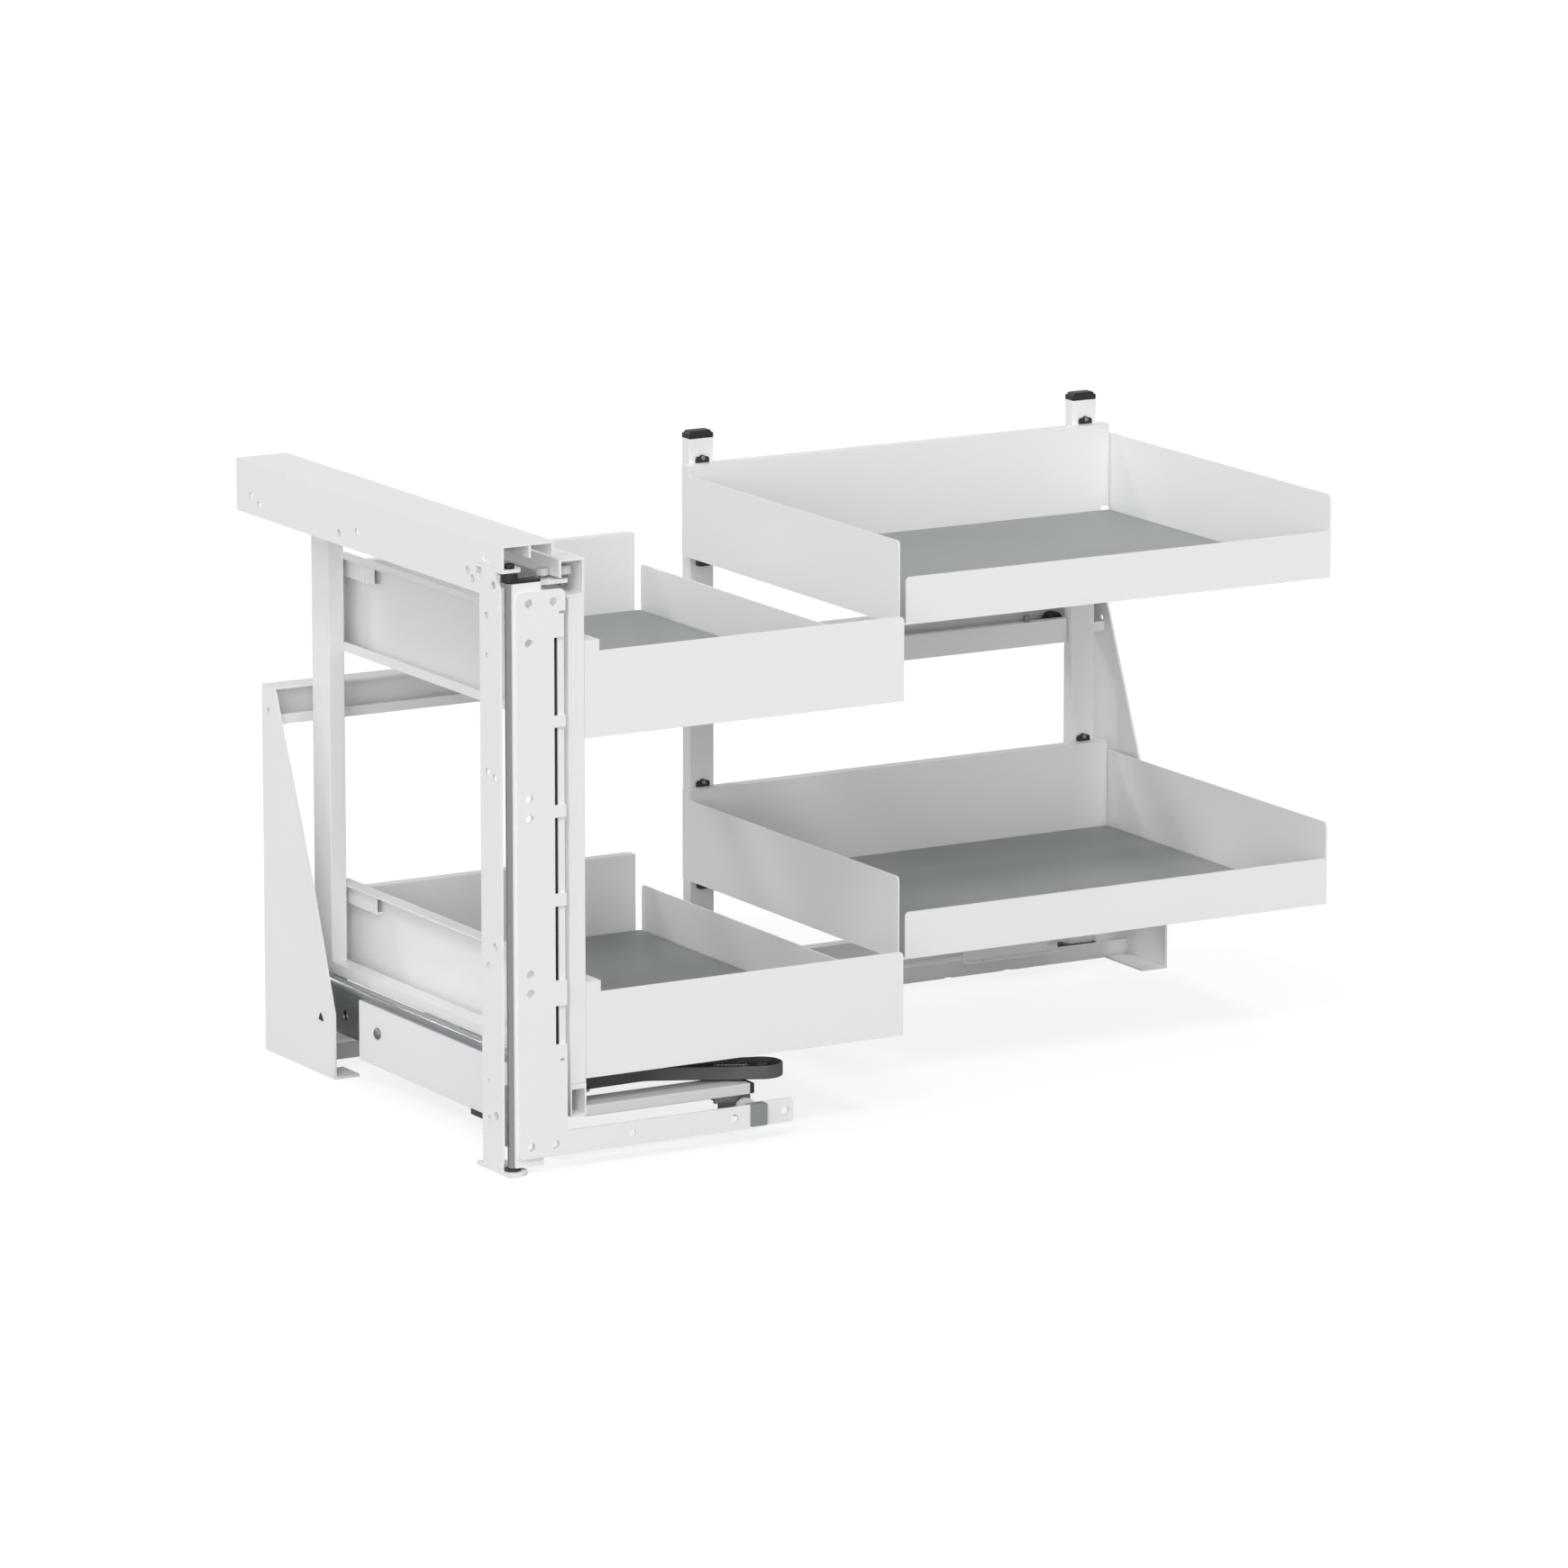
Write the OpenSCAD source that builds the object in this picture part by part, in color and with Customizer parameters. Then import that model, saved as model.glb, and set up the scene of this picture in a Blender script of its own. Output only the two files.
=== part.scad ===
// Blind corner pull-out: a door carrier and a sliding front frame with two trays stand on the left,
// and a carriage with two trays runs behind the blind side, on a frame of its own.
// The modules measure x from the cabinet's left side, y from the beam's front end and z from the floor.
// The finished part's origin is the door's pivot axis at floor level.

/* [Cabinet] */
// Clear width between the cabinet's sides
cabinet_w = 864; // [840:1:900]
// Depth from the beam's front end to the back of the rear brackets
cabinet_d = 490; // [484:1:510]
// Height of the top of the side beam
unit_h = 520; // [515:1:560]

/* [Side beam] */
// Length of the beam
beam_l = 467; // [450:1:480]
// Width of the beam's top
beam_w = 47.7; // [46:0.1:49]
// Depth of the beam's left wall
beam_h = 44.5; // [42:0.5:48]
// Thickness of the beam's left wall
beam_wall = 2.2; // [1.8:0.1:2.6]
// Thickness of the beam's top and ribs
rib_t = 2; // [1.6:0.1:2.2]
// Depth of the beam's two ribs, with the top
rib_h = 12; // [11:0.5:13]
// Clear width of the groove that the beam roller runs in
beam_groove = 18.8; // [18:0.1:19]

/* [Pivot post] */
// Thickness of the post's sheet
post_t = 2.2; // [1.8:0.1:2.4]
// Front edge of the post
post_front = 4.2; // [4:0.1:5]
// Back edge of the post
post_back = 38; // [36:0.5:42]
// Thickness of the lug on top and of the foot
lug_t = 3; // [2.5:0.1:3.5]
// Drop from the beam's top to the lug's top
lug_drop = 20; // [19:0.5:21]
// Length of the lug
lug_l = 45; // [42:0.5:48]
// Radius of the foot round the pivot
foot_r = 12; // [11:0.5:13]
// Diameter of the holes for fixing screws
fix_d = 7; // [6:0.5:7]

/* [Door pivot] */
// Distance of the pivot axis from the cabinet's side
pivot_x = 9.5; // [9.5:0.1:10]
// Distance of the pivot axis behind the beam's front end
pivot_y = 5; // [4.8:0.1:5.2]
// Diameter of the pivot bolt and pin
pin_d = 6; // [5:0.1:6.2]
// Running clearance round the pins, on the radius
run_gap = 0.05; // [0.03:0.01:0.08]
// Outer diameter of the pivot tube
tube_d = 8; // [7.8:0.1:8.4]
// Diameter of the two pivot bushes
bush_d = 14; // [13:0.1:14]
// Height of the top bush
bush_h = 8; // [7:0.5:8.5]

/* [Door carrier] */
// Thickness of the door plate and strip
door_t = 2; // [1.6:0.1:2]
// Width of the door plate
door_plate_w = 45; // [43:0.5:45]
// Width of the extrusion that holds the tube
carrier_w = 25.9; // [25:0.1:27]
// Depth of the extrusion
carrier_d = 11; // [10:0.1:11.5]
// Height of the door strip
strip_h = 20; // [18:0.5:20]
// Reach of the door strip past the plate, up to its catch block
strip_l = 171; // [169:0.5:172]
// Width of the catch block
block_w = 15.6; // [14:0.1:17]

/* [Front frame] */
// Width of the frame's posts
frame_w = 14.8; // [14:0.1:16]
// Left face of the frame's posts
frame_x = 63.5; // [63.5:0.1:65]
// Length of the frame from front to back
frame_l = 450; // [440:1:455]
// Wall of the frame's tubes
tube_wall = 1.5; // [1.2:0.1:2]
// Width of the top channel
channel_w = 23.1; // [22.8:0.1:24]
// Height of the top channel
channel_h = 31.7; // [30:0.1:33]
// Length of the side bar
bar_l = 154; // [150:1:156]

/* [Runner] */
// Height of the runner
runner_h = 45; // [44:0.5:46]
// Sheet of the runner's members
runner_t = 1.5; // [1.4:0.05:1.6]
// Centre height of the runner
runner_z = 54.5; // [54.5:0.5:57]

/* [Front trays] */
// Width of the front trays
front_tray_w = 300; // [280:1:310]
// Height of the lower tray's underside above the floor
front_low_z = 71.4; // [71:0.1:76]
// Drop from the top channel's underside to the upper front tray
front_drop = 117.2; // [116:0.1:140]
// Height of the front wall of a front tray
front_wall_h = 71.1; // [60:0.5:80]

/* [Rear frame] */
// Height of the rear brackets
bracket_h = 319; // [300:1:330]
// Sheet of the brackets and rails
rail_t = 2; // [1.8:0.1:2.2]
// Height of the top rail's channel
rail_h = 32; // [31:0.5:34]
// Depth of both rails' channels
rail_d = 22; // [21:0.5:24]

/* [Rear carriage] */
// Width of the carriage's posts
post_w = 23.7; // [20:0.1:26]
// Depth of the carriage's posts
post_d = 13.5; // [12:0.1:14]
// Top of the carriage's posts
post_top = 499.6; // [495:0.1:510]
// Diameter of the carriage's rollers
roller_d = 19; // [18:0.5:20]

/* [Rear trays] */
// Width of the rear trays
rear_tray_w = 428.5; // [410:0.5:440]
// Depth of the rear trays from lip to back wall
rear_tray_d = 353; // [340:1:360]
// Height of the lower rear tray's underside
rear_low_z = 113.3; // [110:0.1:125]
// Drop from the top of the carriage's posts to the upper rear tray
rear_drop = 100.9; // [99.5:0.1:116]
// Height of a rear tray's side walls
side_wall_h = 71.6; // [60:0.5:76]
// Height of a rear tray's front lip
front_lip_h = 40.2; // [30:0.5:50]

/* [Tray sheet] */
// Thickness of the trays' sheet
tray_t = 1.5; // [1.2:0.1:2]
// Thickness of the grey mats
mat_t = 1.8; // [1.5:0.1:2.5]

/* [Hidden] */
$fn = 48;
cut = 1;
// Gap between parts that move past each other
move_gap = 0.3;

white = "#E1E3E2";
shade_white = "#CDD0D0";
steel = "#B9BCBD";
zinc = "#8E9293";
black = "#2A2A2A";
arm_grey = "#55585A";
mat_grey = "#989D9D";
block_grey = "#8C9191";

// Pivot and post
lug_z = unit_h - lug_drop;
lug_w = 19.5;
foot_back = 48.6;
bush_low_h = 2;
tube_z0 = lug_t + bush_low_h + move_gap;
tube_z1 = lug_z - lug_t - bush_h - 1;
screw_reach = 12;
hole_front_y = 14.5;
hole_back_y = 26.2;

// Door carrier
door_x0 = pivot_x + 2;
door_x1 = door_x0 + door_plate_w;
door_y0 = pivot_y - 8;
plate_back = door_y0 + door_t;
carrier_x0 = pivot_x - 0.2;
carrier_x1 = carrier_x0 + carrier_w;
carrier_y1 = plate_back + carrier_d;
carrier_z0 = tube_z0 + 0.5;
door_z0 = 12.3;
door_z1 = tube_z1 - 7;
door_low_hole = 21.9;
door_top_hole = tube_z1 - 17;
door_hole_pitch = 22.4;
flange_t = 1.7;
hem_w = 5.8;
flange_z0 = 93;
flange_z1 = 460.5 + tube_z1 - 488;
flange_y1 = carrier_y1;
strip_z0 = door_z0;
joggle = 4.5;
block_x0 = door_x1 + strip_l;
block_x1 = block_x0 + block_w;
strip_end_x = block_x1 + 28;
block_front = door_y0 - 1.2;
block_back = pivot_y - 0.8;
block_seat_z = [2.5, -1.2];

// Front frame
frame_y0 = 5;
frame_y1 = frame_y0 + frame_l;
frame_x1 = frame_x + frame_w;
front_post_d = 15;
rear_post_d = 31;
channel_x0 = frame_x1 - channel_w;
channel_z1 = unit_h - 17.3;
channel_z0 = channel_z1 - channel_h;
channel_t = 2;
lip_t = 2.2;
lip_drop = 14.7;
bottom_tube_z0 = 40.5;
bottom_tube_z1 = 64.7;
base_bar_t = 3;
post_z0 = bottom_tube_z1 + base_bar_t;

// Guide arm and its rollers
arm_top = channel_z1 - 17;
guide_t = 3.9;
guide_y0 = 12.5;
guide_y1 = 29.5;
guide_step_x = 37;
outer_roller_d = 10.4;
inner_roller_d = 14.2;
outer_roller_at = [channel_x0 - move_gap - outer_roller_d / 2, 23.5];
inner_roller_at = [channel_x0 + lip_t + move_gap + inner_roller_d / 2, 16.7];
outer_roller_z = [arm_top + 2.3, arm_top + 8.3];
inner_roller_z = [arm_top + 3.3, arm_top + 10.3];
stud_d = 5;

// Runner between the side plate and the frame
runner_x0 = 50.7;
runner_y0 = 40;
runner_y1 = 440;
middle_y0 = 205;
inner_y0 = 24;
side_plate_t = 2.5;
side_plate_x = runner_x0 - side_plate_t;
side_plate_z = [19.6, 70.6];
side_plate_y1 = 346;
side_plate_y0 = 19;
outer_z0 = runner_z - runner_h / 2;
outer_z1 = runner_z + runner_h / 2;
outer_depth = 11;
ball_gap = 4.5;
inner_ball_gap = 4;
middle_z0 = outer_z0 + runner_t + ball_gap;
middle_z1 = outer_z1 - runner_t - ball_gap;
inner_z0 = middle_z0 + runner_t + inner_ball_gap;
inner_z1 = middle_z1 - runner_t - inner_ball_gap;
ball_clear = 0.1;
ball_pitch = 26;

// Side bar and catch wheel
bar_z0 = 39.3;
bar_z1 = 48.5;
bar_y1 = 35;
bar_x1 = frame_x1 + bar_l;
wheel_r = 8.3;
wheel_w = 6.5;
wheel_x = block_x0 + 1.5;
wheel_z = 27.7;
wheel_y0 = block_back + 0.5;

// Link arm
arm_z = [50.5, 61.5];
arm_pivot = [98, 60];
arm_end = [251, 20];
arm_end_r = 18;
arm_pivot_r = 15;
arm_pin_d = 8;
spring_from = [216, 37];
spring_to = [240, 23.5];
spring_r = 2;
spring_wire = 0.9;
spring_curls = 14;

// Front trays
front_tray_x0 = frame_x1;
front_tray_x1 = front_tray_x0 + front_tray_w;
front_tray_back = 445;
tray_flange = 11.3;
front_up_z = channel_z0 - front_drop;
left_wall_h = 80.4;
left_recess = 12.2;
left_lip_h = 8;
front_wall_x = front_tray_x0 + left_recess;
right_wall_h = 43;
slot_gap = 7.5;
hanger_w = 7;
hanger_h = 16.5;
hanger_l = 74.6;

// Rear frame and carriage
back_y = cabinet_d;
rail_y0 = back_y - rail_d;
bracket_left_x = 33.4;
bracket_right_x = cabinet_w - rail_t;
rail_x0 = bracket_left_x + rail_t;
rail_top_z = bracket_h;
rail_floor_z = bracket_h - rail_h + rail_t;
rail_lip_h = 8.5;
bottom_rail_y0 = back_y - 64;
bottom_wall_h = 14.5;
bracket_d = 127;
foot_w = 24.3;
carriage_y1 = rail_y0 - 1.3;
carriage_y0 = carriage_y1 - post_d;
rear_tray_x1 = cabinet_w - 13.2;
rear_tray_x0 = rear_tray_x1 - rear_tray_w;
post_left_x = rear_tray_x0 + 7.7;
post_right_x = rear_tray_x1 - 8.7 - post_w;
carriage_z0 = 20;
shoe_top = 8.5;
lower_rail_z1 = 36;
carriage_rail_y0 = carriage_y1 - 7.7;
carriage_rail_z = [bracket_h - 36.5, bracket_h - 15];
rear_roller_z = rail_floor_z + move_gap + roller_d / 2;
rear_roller_y = [rail_y0 + rail_t + 1, rail_y0 + rail_t + 9];
rear_roller_x = [post_left_x + 36, post_right_x - 7];
axle_d = 5;

// Rear trays
rear_wall_y = carriage_y0 - 12.2;
rear_tray_y0 = rear_wall_y - rear_tray_d;
rear_back_h = 80;
rear_up_z = post_top - rear_drop;
lip_gap = 7.5;
back_gap = 0.8;
relief_w = 7.6;
tab_from_side = 65.5;
tab_w = 96;
clip_w = 12.6;

// Two limits at a lower and an upper distance from a place
function span(at, low, high) = [at + low, at + high];

// A block between two limits on each axis
module block(x, y, z)
    translate([x[0], y[0], z[0]]) cube([x[1] - x[0], y[1] - y[0], z[1] - z[0]]);

// A sheet that stands across x, with its outline drawn in y and z
module across_x(x, t) translate([x, 0, 0]) rotate([90, 0, 90]) linear_extrude(t) children();

// A sheet that stands across y, with its outline drawn in x and z
module across_y(y, t) translate([0, y + t, 0]) rotate([90, 0, 0]) linear_extrude(t) children();

// A sheet that lies flat, with its outline drawn in x and y
module flat(z, t) translate([0, 0, z]) linear_extrude(t) children();

// Round bars and drills along each axis
module rod_x(d, x, y, z) translate([x[0], y, z]) rotate([0, 90, 0]) cylinder(d = d, h = x[1] - x[0]);
module rod_y(d, x, y, z) translate([x, y[1], z]) rotate([90, 0, 0]) cylinder(d = d, h = y[1] - y[0]);
module rod_z(d, x, y, z) translate([x, y, z[0]]) cylinder(d = d, h = z[1] - z[0]);

// The square corner that a fillet of this radius takes away
module corner_cut(r) difference() {
    translate([-cut, -cut]) square(r + cut);
    translate([r, r]) circle(r);
}

// Rectangle with a radius at each corner: lower left, lower right, upper right, upper left
module rounded(x, y, r) {
    corners = [[x[0], y[0]], [x[1], y[0]], [x[1], y[1]], [x[0], y[1]]];
    difference() {
        translate([x[0], y[0]]) square([x[1] - x[0], y[1] - y[0]]);
        for (i = [0:3])
            if (r[i] > 0)
                translate(corners[i]) rotate(90 * i) corner_cut(r[i]);
    }
}

module rect(x, y) translate([x[0], y[0]]) square([x[1] - x[0], y[1] - y[0]]);

// The cabinet-side beam
module beam_section() {
    mid_rib = beam_w - 2 * rib_t - beam_groove;
    rect([0, beam_w], [unit_h - rib_t, unit_h]);
    rect([0, beam_wall], [unit_h - beam_h, unit_h]);
    rect([mid_rib, mid_rib + rib_t], [unit_h - rib_h, unit_h]);
    rect([beam_w - rib_t, beam_w], [unit_h - rib_h, unit_h]);
}

module side_beam() {
    high = unit_h - 29;
    low = unit_h - 34.6;
    holes = [[441, high], [426, low], [282, low], [250, high], [58, high], [49.3, low]];
    color(white) difference() {
        across_y(0, beam_l) beam_section();
        block([-cut, beam_wall + cut], [-cut, post_back], [unit_h - beam_h - cut, lug_z]);
        block([-cut, beam_wall + cut], [-cut, lug_l], [lug_z - lug_t, lug_z]);
        block([-cut, beam_wall + cut], [post_back - cut, lug_l - 1.5],
            [lug_z - lug_t - 5.5, lug_z - lug_t + cut]);
        for (hole = holes) rod_x(fix_d, [-cut, beam_wall + cut], hole[0], hole[1]);
        lanced_tab();
    }
}

// Shallow three-cornered recess near the beam's front end
module lanced_tab() {
    z = lug_z + 3;
    across_x(-cut, 1 + cut) polygon([[14, z], [34, z + 5], [31, z]]);
}

// The bent sheet that carries the door's pivot
module pivot_post() {
    color(white) difference() {
        union() {
            across_x(0, post_t) post_outline();
            flat(lug_z - lug_t, lug_t) rounded([0, lug_w], [0, lug_l], [0, 5, 0, 0]);
            flat(0, lug_t) foot_outline();
        }
        rod_z(pin_d + 0.2, pivot_x, pivot_y, [lug_z - lug_t - cut, lug_z + cut]);
        rod_z(pin_d + 0.2, pivot_x, pivot_y, [1, lug_t + cut]);
        post_holes();
        across_y(-cut, lug_l + 2 * cut) translate([0, lug_z]) rotate(270) corner_cut(1.6);
    }
}

module post_outline() {
    bend_relief = 3.5;
    difference() {
        polygon([
            [post_front + 3, 0], [post_back, 0], [post_back, lug_z], [post_front + 6.5, lug_z],
            [post_front + 6, lug_z - 4], [post_front, lug_z - 18], [post_front, 22], [post_front + 2, lug_t]
        ]);
        rect([post_back - bend_relief, post_back + cut], [lug_z - lug_t - 8, lug_z - lug_t]);
    }
}

module foot_outline() intersection() {
    union() {
        rect([0, pivot_x + foot_r], [pivot_y, foot_back]);
        rect([0, pivot_x], [pivot_y - foot_r, foot_back]);
        translate([pivot_x, pivot_y]) circle(foot_r);
    }
    rect([0, pivot_x + foot_r + cut], [pivot_y - foot_r - cut, foot_back]);
}

module post_holes() {
    small_d = 4.5;
    front_row = [unit_h - 34.4, 327.3, 187.4, 47.3];
    back_row = [458.6, 330.3, 170, 42.7];
    small_row = [426.6, 74];
    for (z = front_row) rod_x(fix_d, [-cut, post_t + cut], hole_front_y, z);
    for (z = back_row) rod_x(fix_d, [-cut, post_t + cut], hole_back_y, z);
    for (z = small_row) rod_x(small_d, [-cut, post_t + cut], hole_back_y, z);
}

// Black socket bolt through the lug and the top bush into the tube
module pivot_bolt() {
    head_d = 8.5;
    head_h = 4;
    color(black) difference() {
        union() {
            rod_z(head_d, pivot_x, pivot_y, [lug_z, lug_z + head_h]);
            rod_z(pin_d, pivot_x, pivot_y, [tube_z1 - screw_reach, lug_z]);
        }
        translate([pivot_x, pivot_y, lug_z + head_h - 2.5]) cylinder(d = 4.6, h = 2.5 + cut, $fn = 6);
    }
}

module pivot_pin() color(steel) rod_z(pin_d, pivot_x, pivot_y, [1, tube_z0 + screw_reach]);

module pivot_bushes() color(black) {
    bush([lug_z - lug_t - bush_h, lug_z - lug_t]);
    bush([lug_t, lug_t + bush_low_h]);
}

module bush(z) difference() {
    rod_z(bush_d, pivot_x, pivot_y, z);
    rod_z(pin_d + 0.2, pivot_x, pivot_y, [z[0] - cut, z[1] + cut]);
}

// Arm that reaches from the post into the top channel
module guide_arm() {
    ear_t = 2.8;
    ear_y0 = 18.5;
    color(white) difference() {
        union() {
            flat(arm_top - guide_t, guide_t) {
                rounded([guide_step_x, inner_roller_at[0] + 2.7], [guide_y0, guide_y1], [2, 1, 4, 0]);
                rect([post_t, guide_step_x + cut], [ear_y0, guide_y1]);
            }
            block([post_t, post_t + ear_t], [ear_y0, post_back - 2], [arm_top - 20, arm_top + 10]);
        }
        for (at = [outer_roller_at, inner_roller_at])
            rod_z(stud_d, at[0], at[1], [arm_top - guide_t - cut, arm_top + cut]);
    }
}

module guide_arm_bolts() color(zinc) {
    guide_bolt(outer_roller_at, outer_roller_z, 7);
    guide_bolt(inner_roller_at, inner_roller_z, 8.4);
}

// Bolt with a nut under the roller and a head sunk in the roller's top
module guide_bolt(at, z, nut_d) {
    nut_h = 2.6;
    rod_z(stud_d, at[0], at[1], [arm_top - guide_t - 2, z[1] - 0.6]);
    rod_z(nut_d, at[0], at[1], [arm_top - guide_t - nut_h, arm_top - guide_t]);
    rod_z(nut_d, at[0], at[1], [arm_top, z[0] - move_gap]);
    rod_z(6.8, at[0], at[1], [z[1] - 1.7, z[1] - 0.5]);
}

module guide_roller(at, d, z) color(white) difference() {
    rod_z(d, at[0], at[1], z);
    rod_z(stud_d + 2 * run_gap, at[0], at[1], [z[0] - cut, z[1] + cut]);
    rod_z(7.4, at[0], at[1], [z[1] - 2, z[1] + cut]);
}

module guide_roller_outer() guide_roller(outer_roller_at, outer_roller_d, outer_roller_z);
module guide_roller_inner() guide_roller(inner_roller_at, inner_roller_d, inner_roller_z);

// Plate that carries the runner, bent round to the post
module side_plate() {
    color(white) difference() {
        union() {
            block([side_plate_x, runner_x0], [side_plate_y0, side_plate_y1], side_plate_z);
            block([post_t, runner_x0], [side_plate_y0, side_plate_y0 + side_plate_t], side_plate_z);
            block([post_t, post_t + side_plate_t], [side_plate_y0, post_back - 1], side_plate_z);
        }
        rod_x(fix_d, [post_t - cut, post_t + side_plate_t + cut], hole_back_y, 42.7);
        rod_x(4.2, [side_plate_x - cut, runner_x0 + cut], 311.8, 48.9);
    }
}

module side_plate_rivet() color(zinc) {
    head = [side_plate_x - 3.2, side_plate_x];
    intersection() {
        rod_x(9.9, head, 311.8, 48.9);
        translate([side_plate_x + 2.6, 311.8, 48.9]) sphere(r = 6.2);
    }
    rod_x(4, [side_plate_x - 0.5, runner_x0], 311.8, 48.9);
}

module bumper_pad() color(arm_grey)
    flat(side_plate_z[0] - 5, 5) rounded([side_plate_x, side_plate_x + 13], [106, 150.4], [3, 3, 3, 3]);

// C-shaped runner member that opens towards plus x, with rounded ball tracks
module runner_section(x0, depth, z0, z1, lip, r) {
    x1 = x0 + depth;
    inner = max(r - runner_t, 0);
    difference() {
        rounded([x0, x1], [z0, z1], [r, 0, 0, r]);
        rounded([x0 + runner_t, x1 - runner_t], [z0, z1] + [runner_t, -runner_t], [inner, 0, 0, inner]);
        rect([x1 - runner_t - cut, x1 + cut], [z0, z1] + [lip, -lip]);
    }
}

module runner_outer() color(steel) difference() {
    across_y(runner_y0, runner_y1 - runner_y0)
        runner_section(runner_x0, outer_depth, outer_z0, outer_z1, 3.5, 4.5);
    rod_x(4.2, [runner_x0 - cut, runner_x0 + runner_t + cut], 311.8, 48.9);
    for (y = [90, 376]) rod_x(9, [runner_x0 - cut, runner_x0 + runner_t + cut], y, 51);
}

module runner_middle() color(steel) {
    x0 = runner_x0 + runner_t + 1;
    depth = 6.2;
    across_y(middle_y0, runner_y1 - middle_y0) runner_section(x0, depth, middle_z0, middle_z1, runner_t, 1);
    ball_row(runner_x0 + 5.8, [middle_z0 - ball_gap / 2, middle_z1 + ball_gap / 2], ball_gap);
    ball_row(runner_x0 + 7, [inner_z0 - inner_ball_gap / 2, inner_z1 + inner_ball_gap / 2], inner_ball_gap);
}

// Balls that roll between two members, in a row above and a row below
module ball_row(x, heights, gap)
    for (z = heights, y = [middle_y0 + 10:ball_pitch:runner_y1 - 10])
        translate([x, y, z]) sphere(d = gap - 2 * ball_clear, $fn = 24);

module runner_inner() color(steel) {
    x1 = frame_x;
    x0 = runner_x0 + 5.2;
    across_y(inner_y0, runner_y1 - inner_y0) {
        rect([x1 - runner_t, x1], [inner_z0, inner_z1]);
        for (z = [inner_z0, inner_z1 - runner_t]) rect([x0, x1], [z, z + runner_t]);
    }
}

// Rear frame: two brackets and two rails
module bracket_outline() {
    front = back_y - bracket_d;
    polygon([
        [front, 0], [back_y, 0], [back_y, bracket_h], [back_y - 19, bracket_h],
        [back_y - 22, bracket_h - 1.2], [back_y - 24, bracket_h - 4], [back_y - 93, 151], [front, 56]
    ]);
}

module rear_bracket(x, foot_x, foot_l) {
    front = back_y - bracket_d;
    union() {
        across_x(x, rail_t) bracket_outline();
        flat(0, rail_t) rounded(foot_x, [front, front + foot_l], [2, 2, 0, 0]);
    }
}

module rear_bracket_left() color(white) difference() {
    rear_bracket(bracket_left_x, [bracket_left_x, bracket_left_x + foot_w], 31);
    rod_x(5, [bracket_left_x - cut, rail_x0 + cut], back_y - 11.2, bracket_h - 21.6);
    rod_z(5, bracket_left_x + foot_w - 10.3, back_y - bracket_d + 9, [-cut, rail_t + cut]);
    across_x(bracket_left_x - cut, rail_t + 2 * cut) plug_outline(0);
}

module rear_bracket_right() color(shade_white) difference() {
    rear_bracket(bracket_right_x, [cabinet_w - foot_w - rail_t, cabinet_w], 61);
    rod_x(5, [bracket_right_x - cut, cabinet_w + cut], back_y - 16.8, bracket_h - 20.9);
    rod_z(5, cabinet_w - foot_w - rail_t + 10, back_y - bracket_d + 9, [-cut, rail_t + cut]);
}

module plug_outline(inset) {
    y = back_y - 104.3;
    z = 49.4;
    polygon([[y + 4 - inset, z - 2], [y - 3.5 + inset, z - 2.6 + inset], [y + 1, z + 4 - inset]]);
}

module bracket_plug() color(black)
    across_x(bracket_left_x - 1.2, rail_t + 1.2) plug_outline(0.1);

module rear_top_rail() {
    lip_z1 = rail_floor_z + rail_lip_h - rail_t;
    color(shade_white) across_x(rail_x0, bracket_right_x - rail_x0) {
        rect([rail_y0, back_y], [rail_top_z - rail_t, rail_top_z]);
        rect([back_y - rail_t, back_y], [rail_floor_z - rail_t, rail_top_z]);
        rect([rail_y0, back_y], [rail_floor_z - rail_t, rail_floor_z]);
        rect([rail_y0, rail_y0 + rail_t], [rail_floor_z - rail_t, lip_z1]);
    }
}

module rear_bottom_rail() {
    notch_w = 7.5;
    color(shade_white) difference() {
        union() {
            block([rail_x0, bracket_right_x], [bottom_rail_y0, back_y], [0, rail_t]);
            block([rail_x0, bracket_right_x], [bottom_rail_y0, bottom_rail_y0 + rail_t], [0, bottom_wall_h]);
            block([rail_x0, bracket_right_x], [back_y - rail_t, back_y], [0, bottom_wall_h]);
        }
        for (x = [bracket_right_x - 190, bracket_right_x - 129])
            block([x, x + notch_w], [bottom_rail_y0 - cut, bottom_rail_y0 + rail_t + cut], [-cut, 1.2]);
    }
}

// Door carrier: tube, extrusion, plate, strip and catch block
module pivot_tube() color(steel) difference() {
    rod_z(tube_d, pivot_x, pivot_y, [tube_z0, tube_z1]);
    rod_z(pin_d + 2 * run_gap, pivot_x, pivot_y, [tube_z0 - cut, tube_z1 + cut]);
}

module carrier_section() {
    wall = 2;
    difference() {
        union() {
            rect([carrier_x0, carrier_x1], [plate_back, plate_back + wall]);
            rounded([pivot_x + 2, carrier_x1], [plate_back, carrier_y1], [0, 0, 2, 0]);
        }
        translate([pivot_x, pivot_y]) circle(d = tube_d + 2 * run_gap);
        rect([pivot_x + tube_d / 2 + 4, carrier_x1 - wall], [plate_back + wall + 0.5, carrier_y1 + cut]);
    }
}

module door_extrusion() color(white) difference() {
    flat(carrier_z0, tube_z1 - carrier_z0) carrier_section();
    for (z = door_hole_rows()) rod_y(fix_d, door_hole_x(), [plate_back - cut, plate_back + 2.6], z);
}

function door_hole_x() = door_x0 + 11.4;
function door_hole_rows() = [door_low_hole, 149.9, 166, 294.2, 310.5, door_top_hole - 32.4, door_top_hole];

module extrusion_cap() color(black)
    flat(tube_z1, 2.4) difference() {
        rounded([pivot_x + 3.5, carrier_x1], [plate_back, carrier_y1], [0, 1, 2, 0]);
        translate([pivot_x, pivot_y]) circle(d = bush_d + 2 * move_gap);
    }

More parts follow.
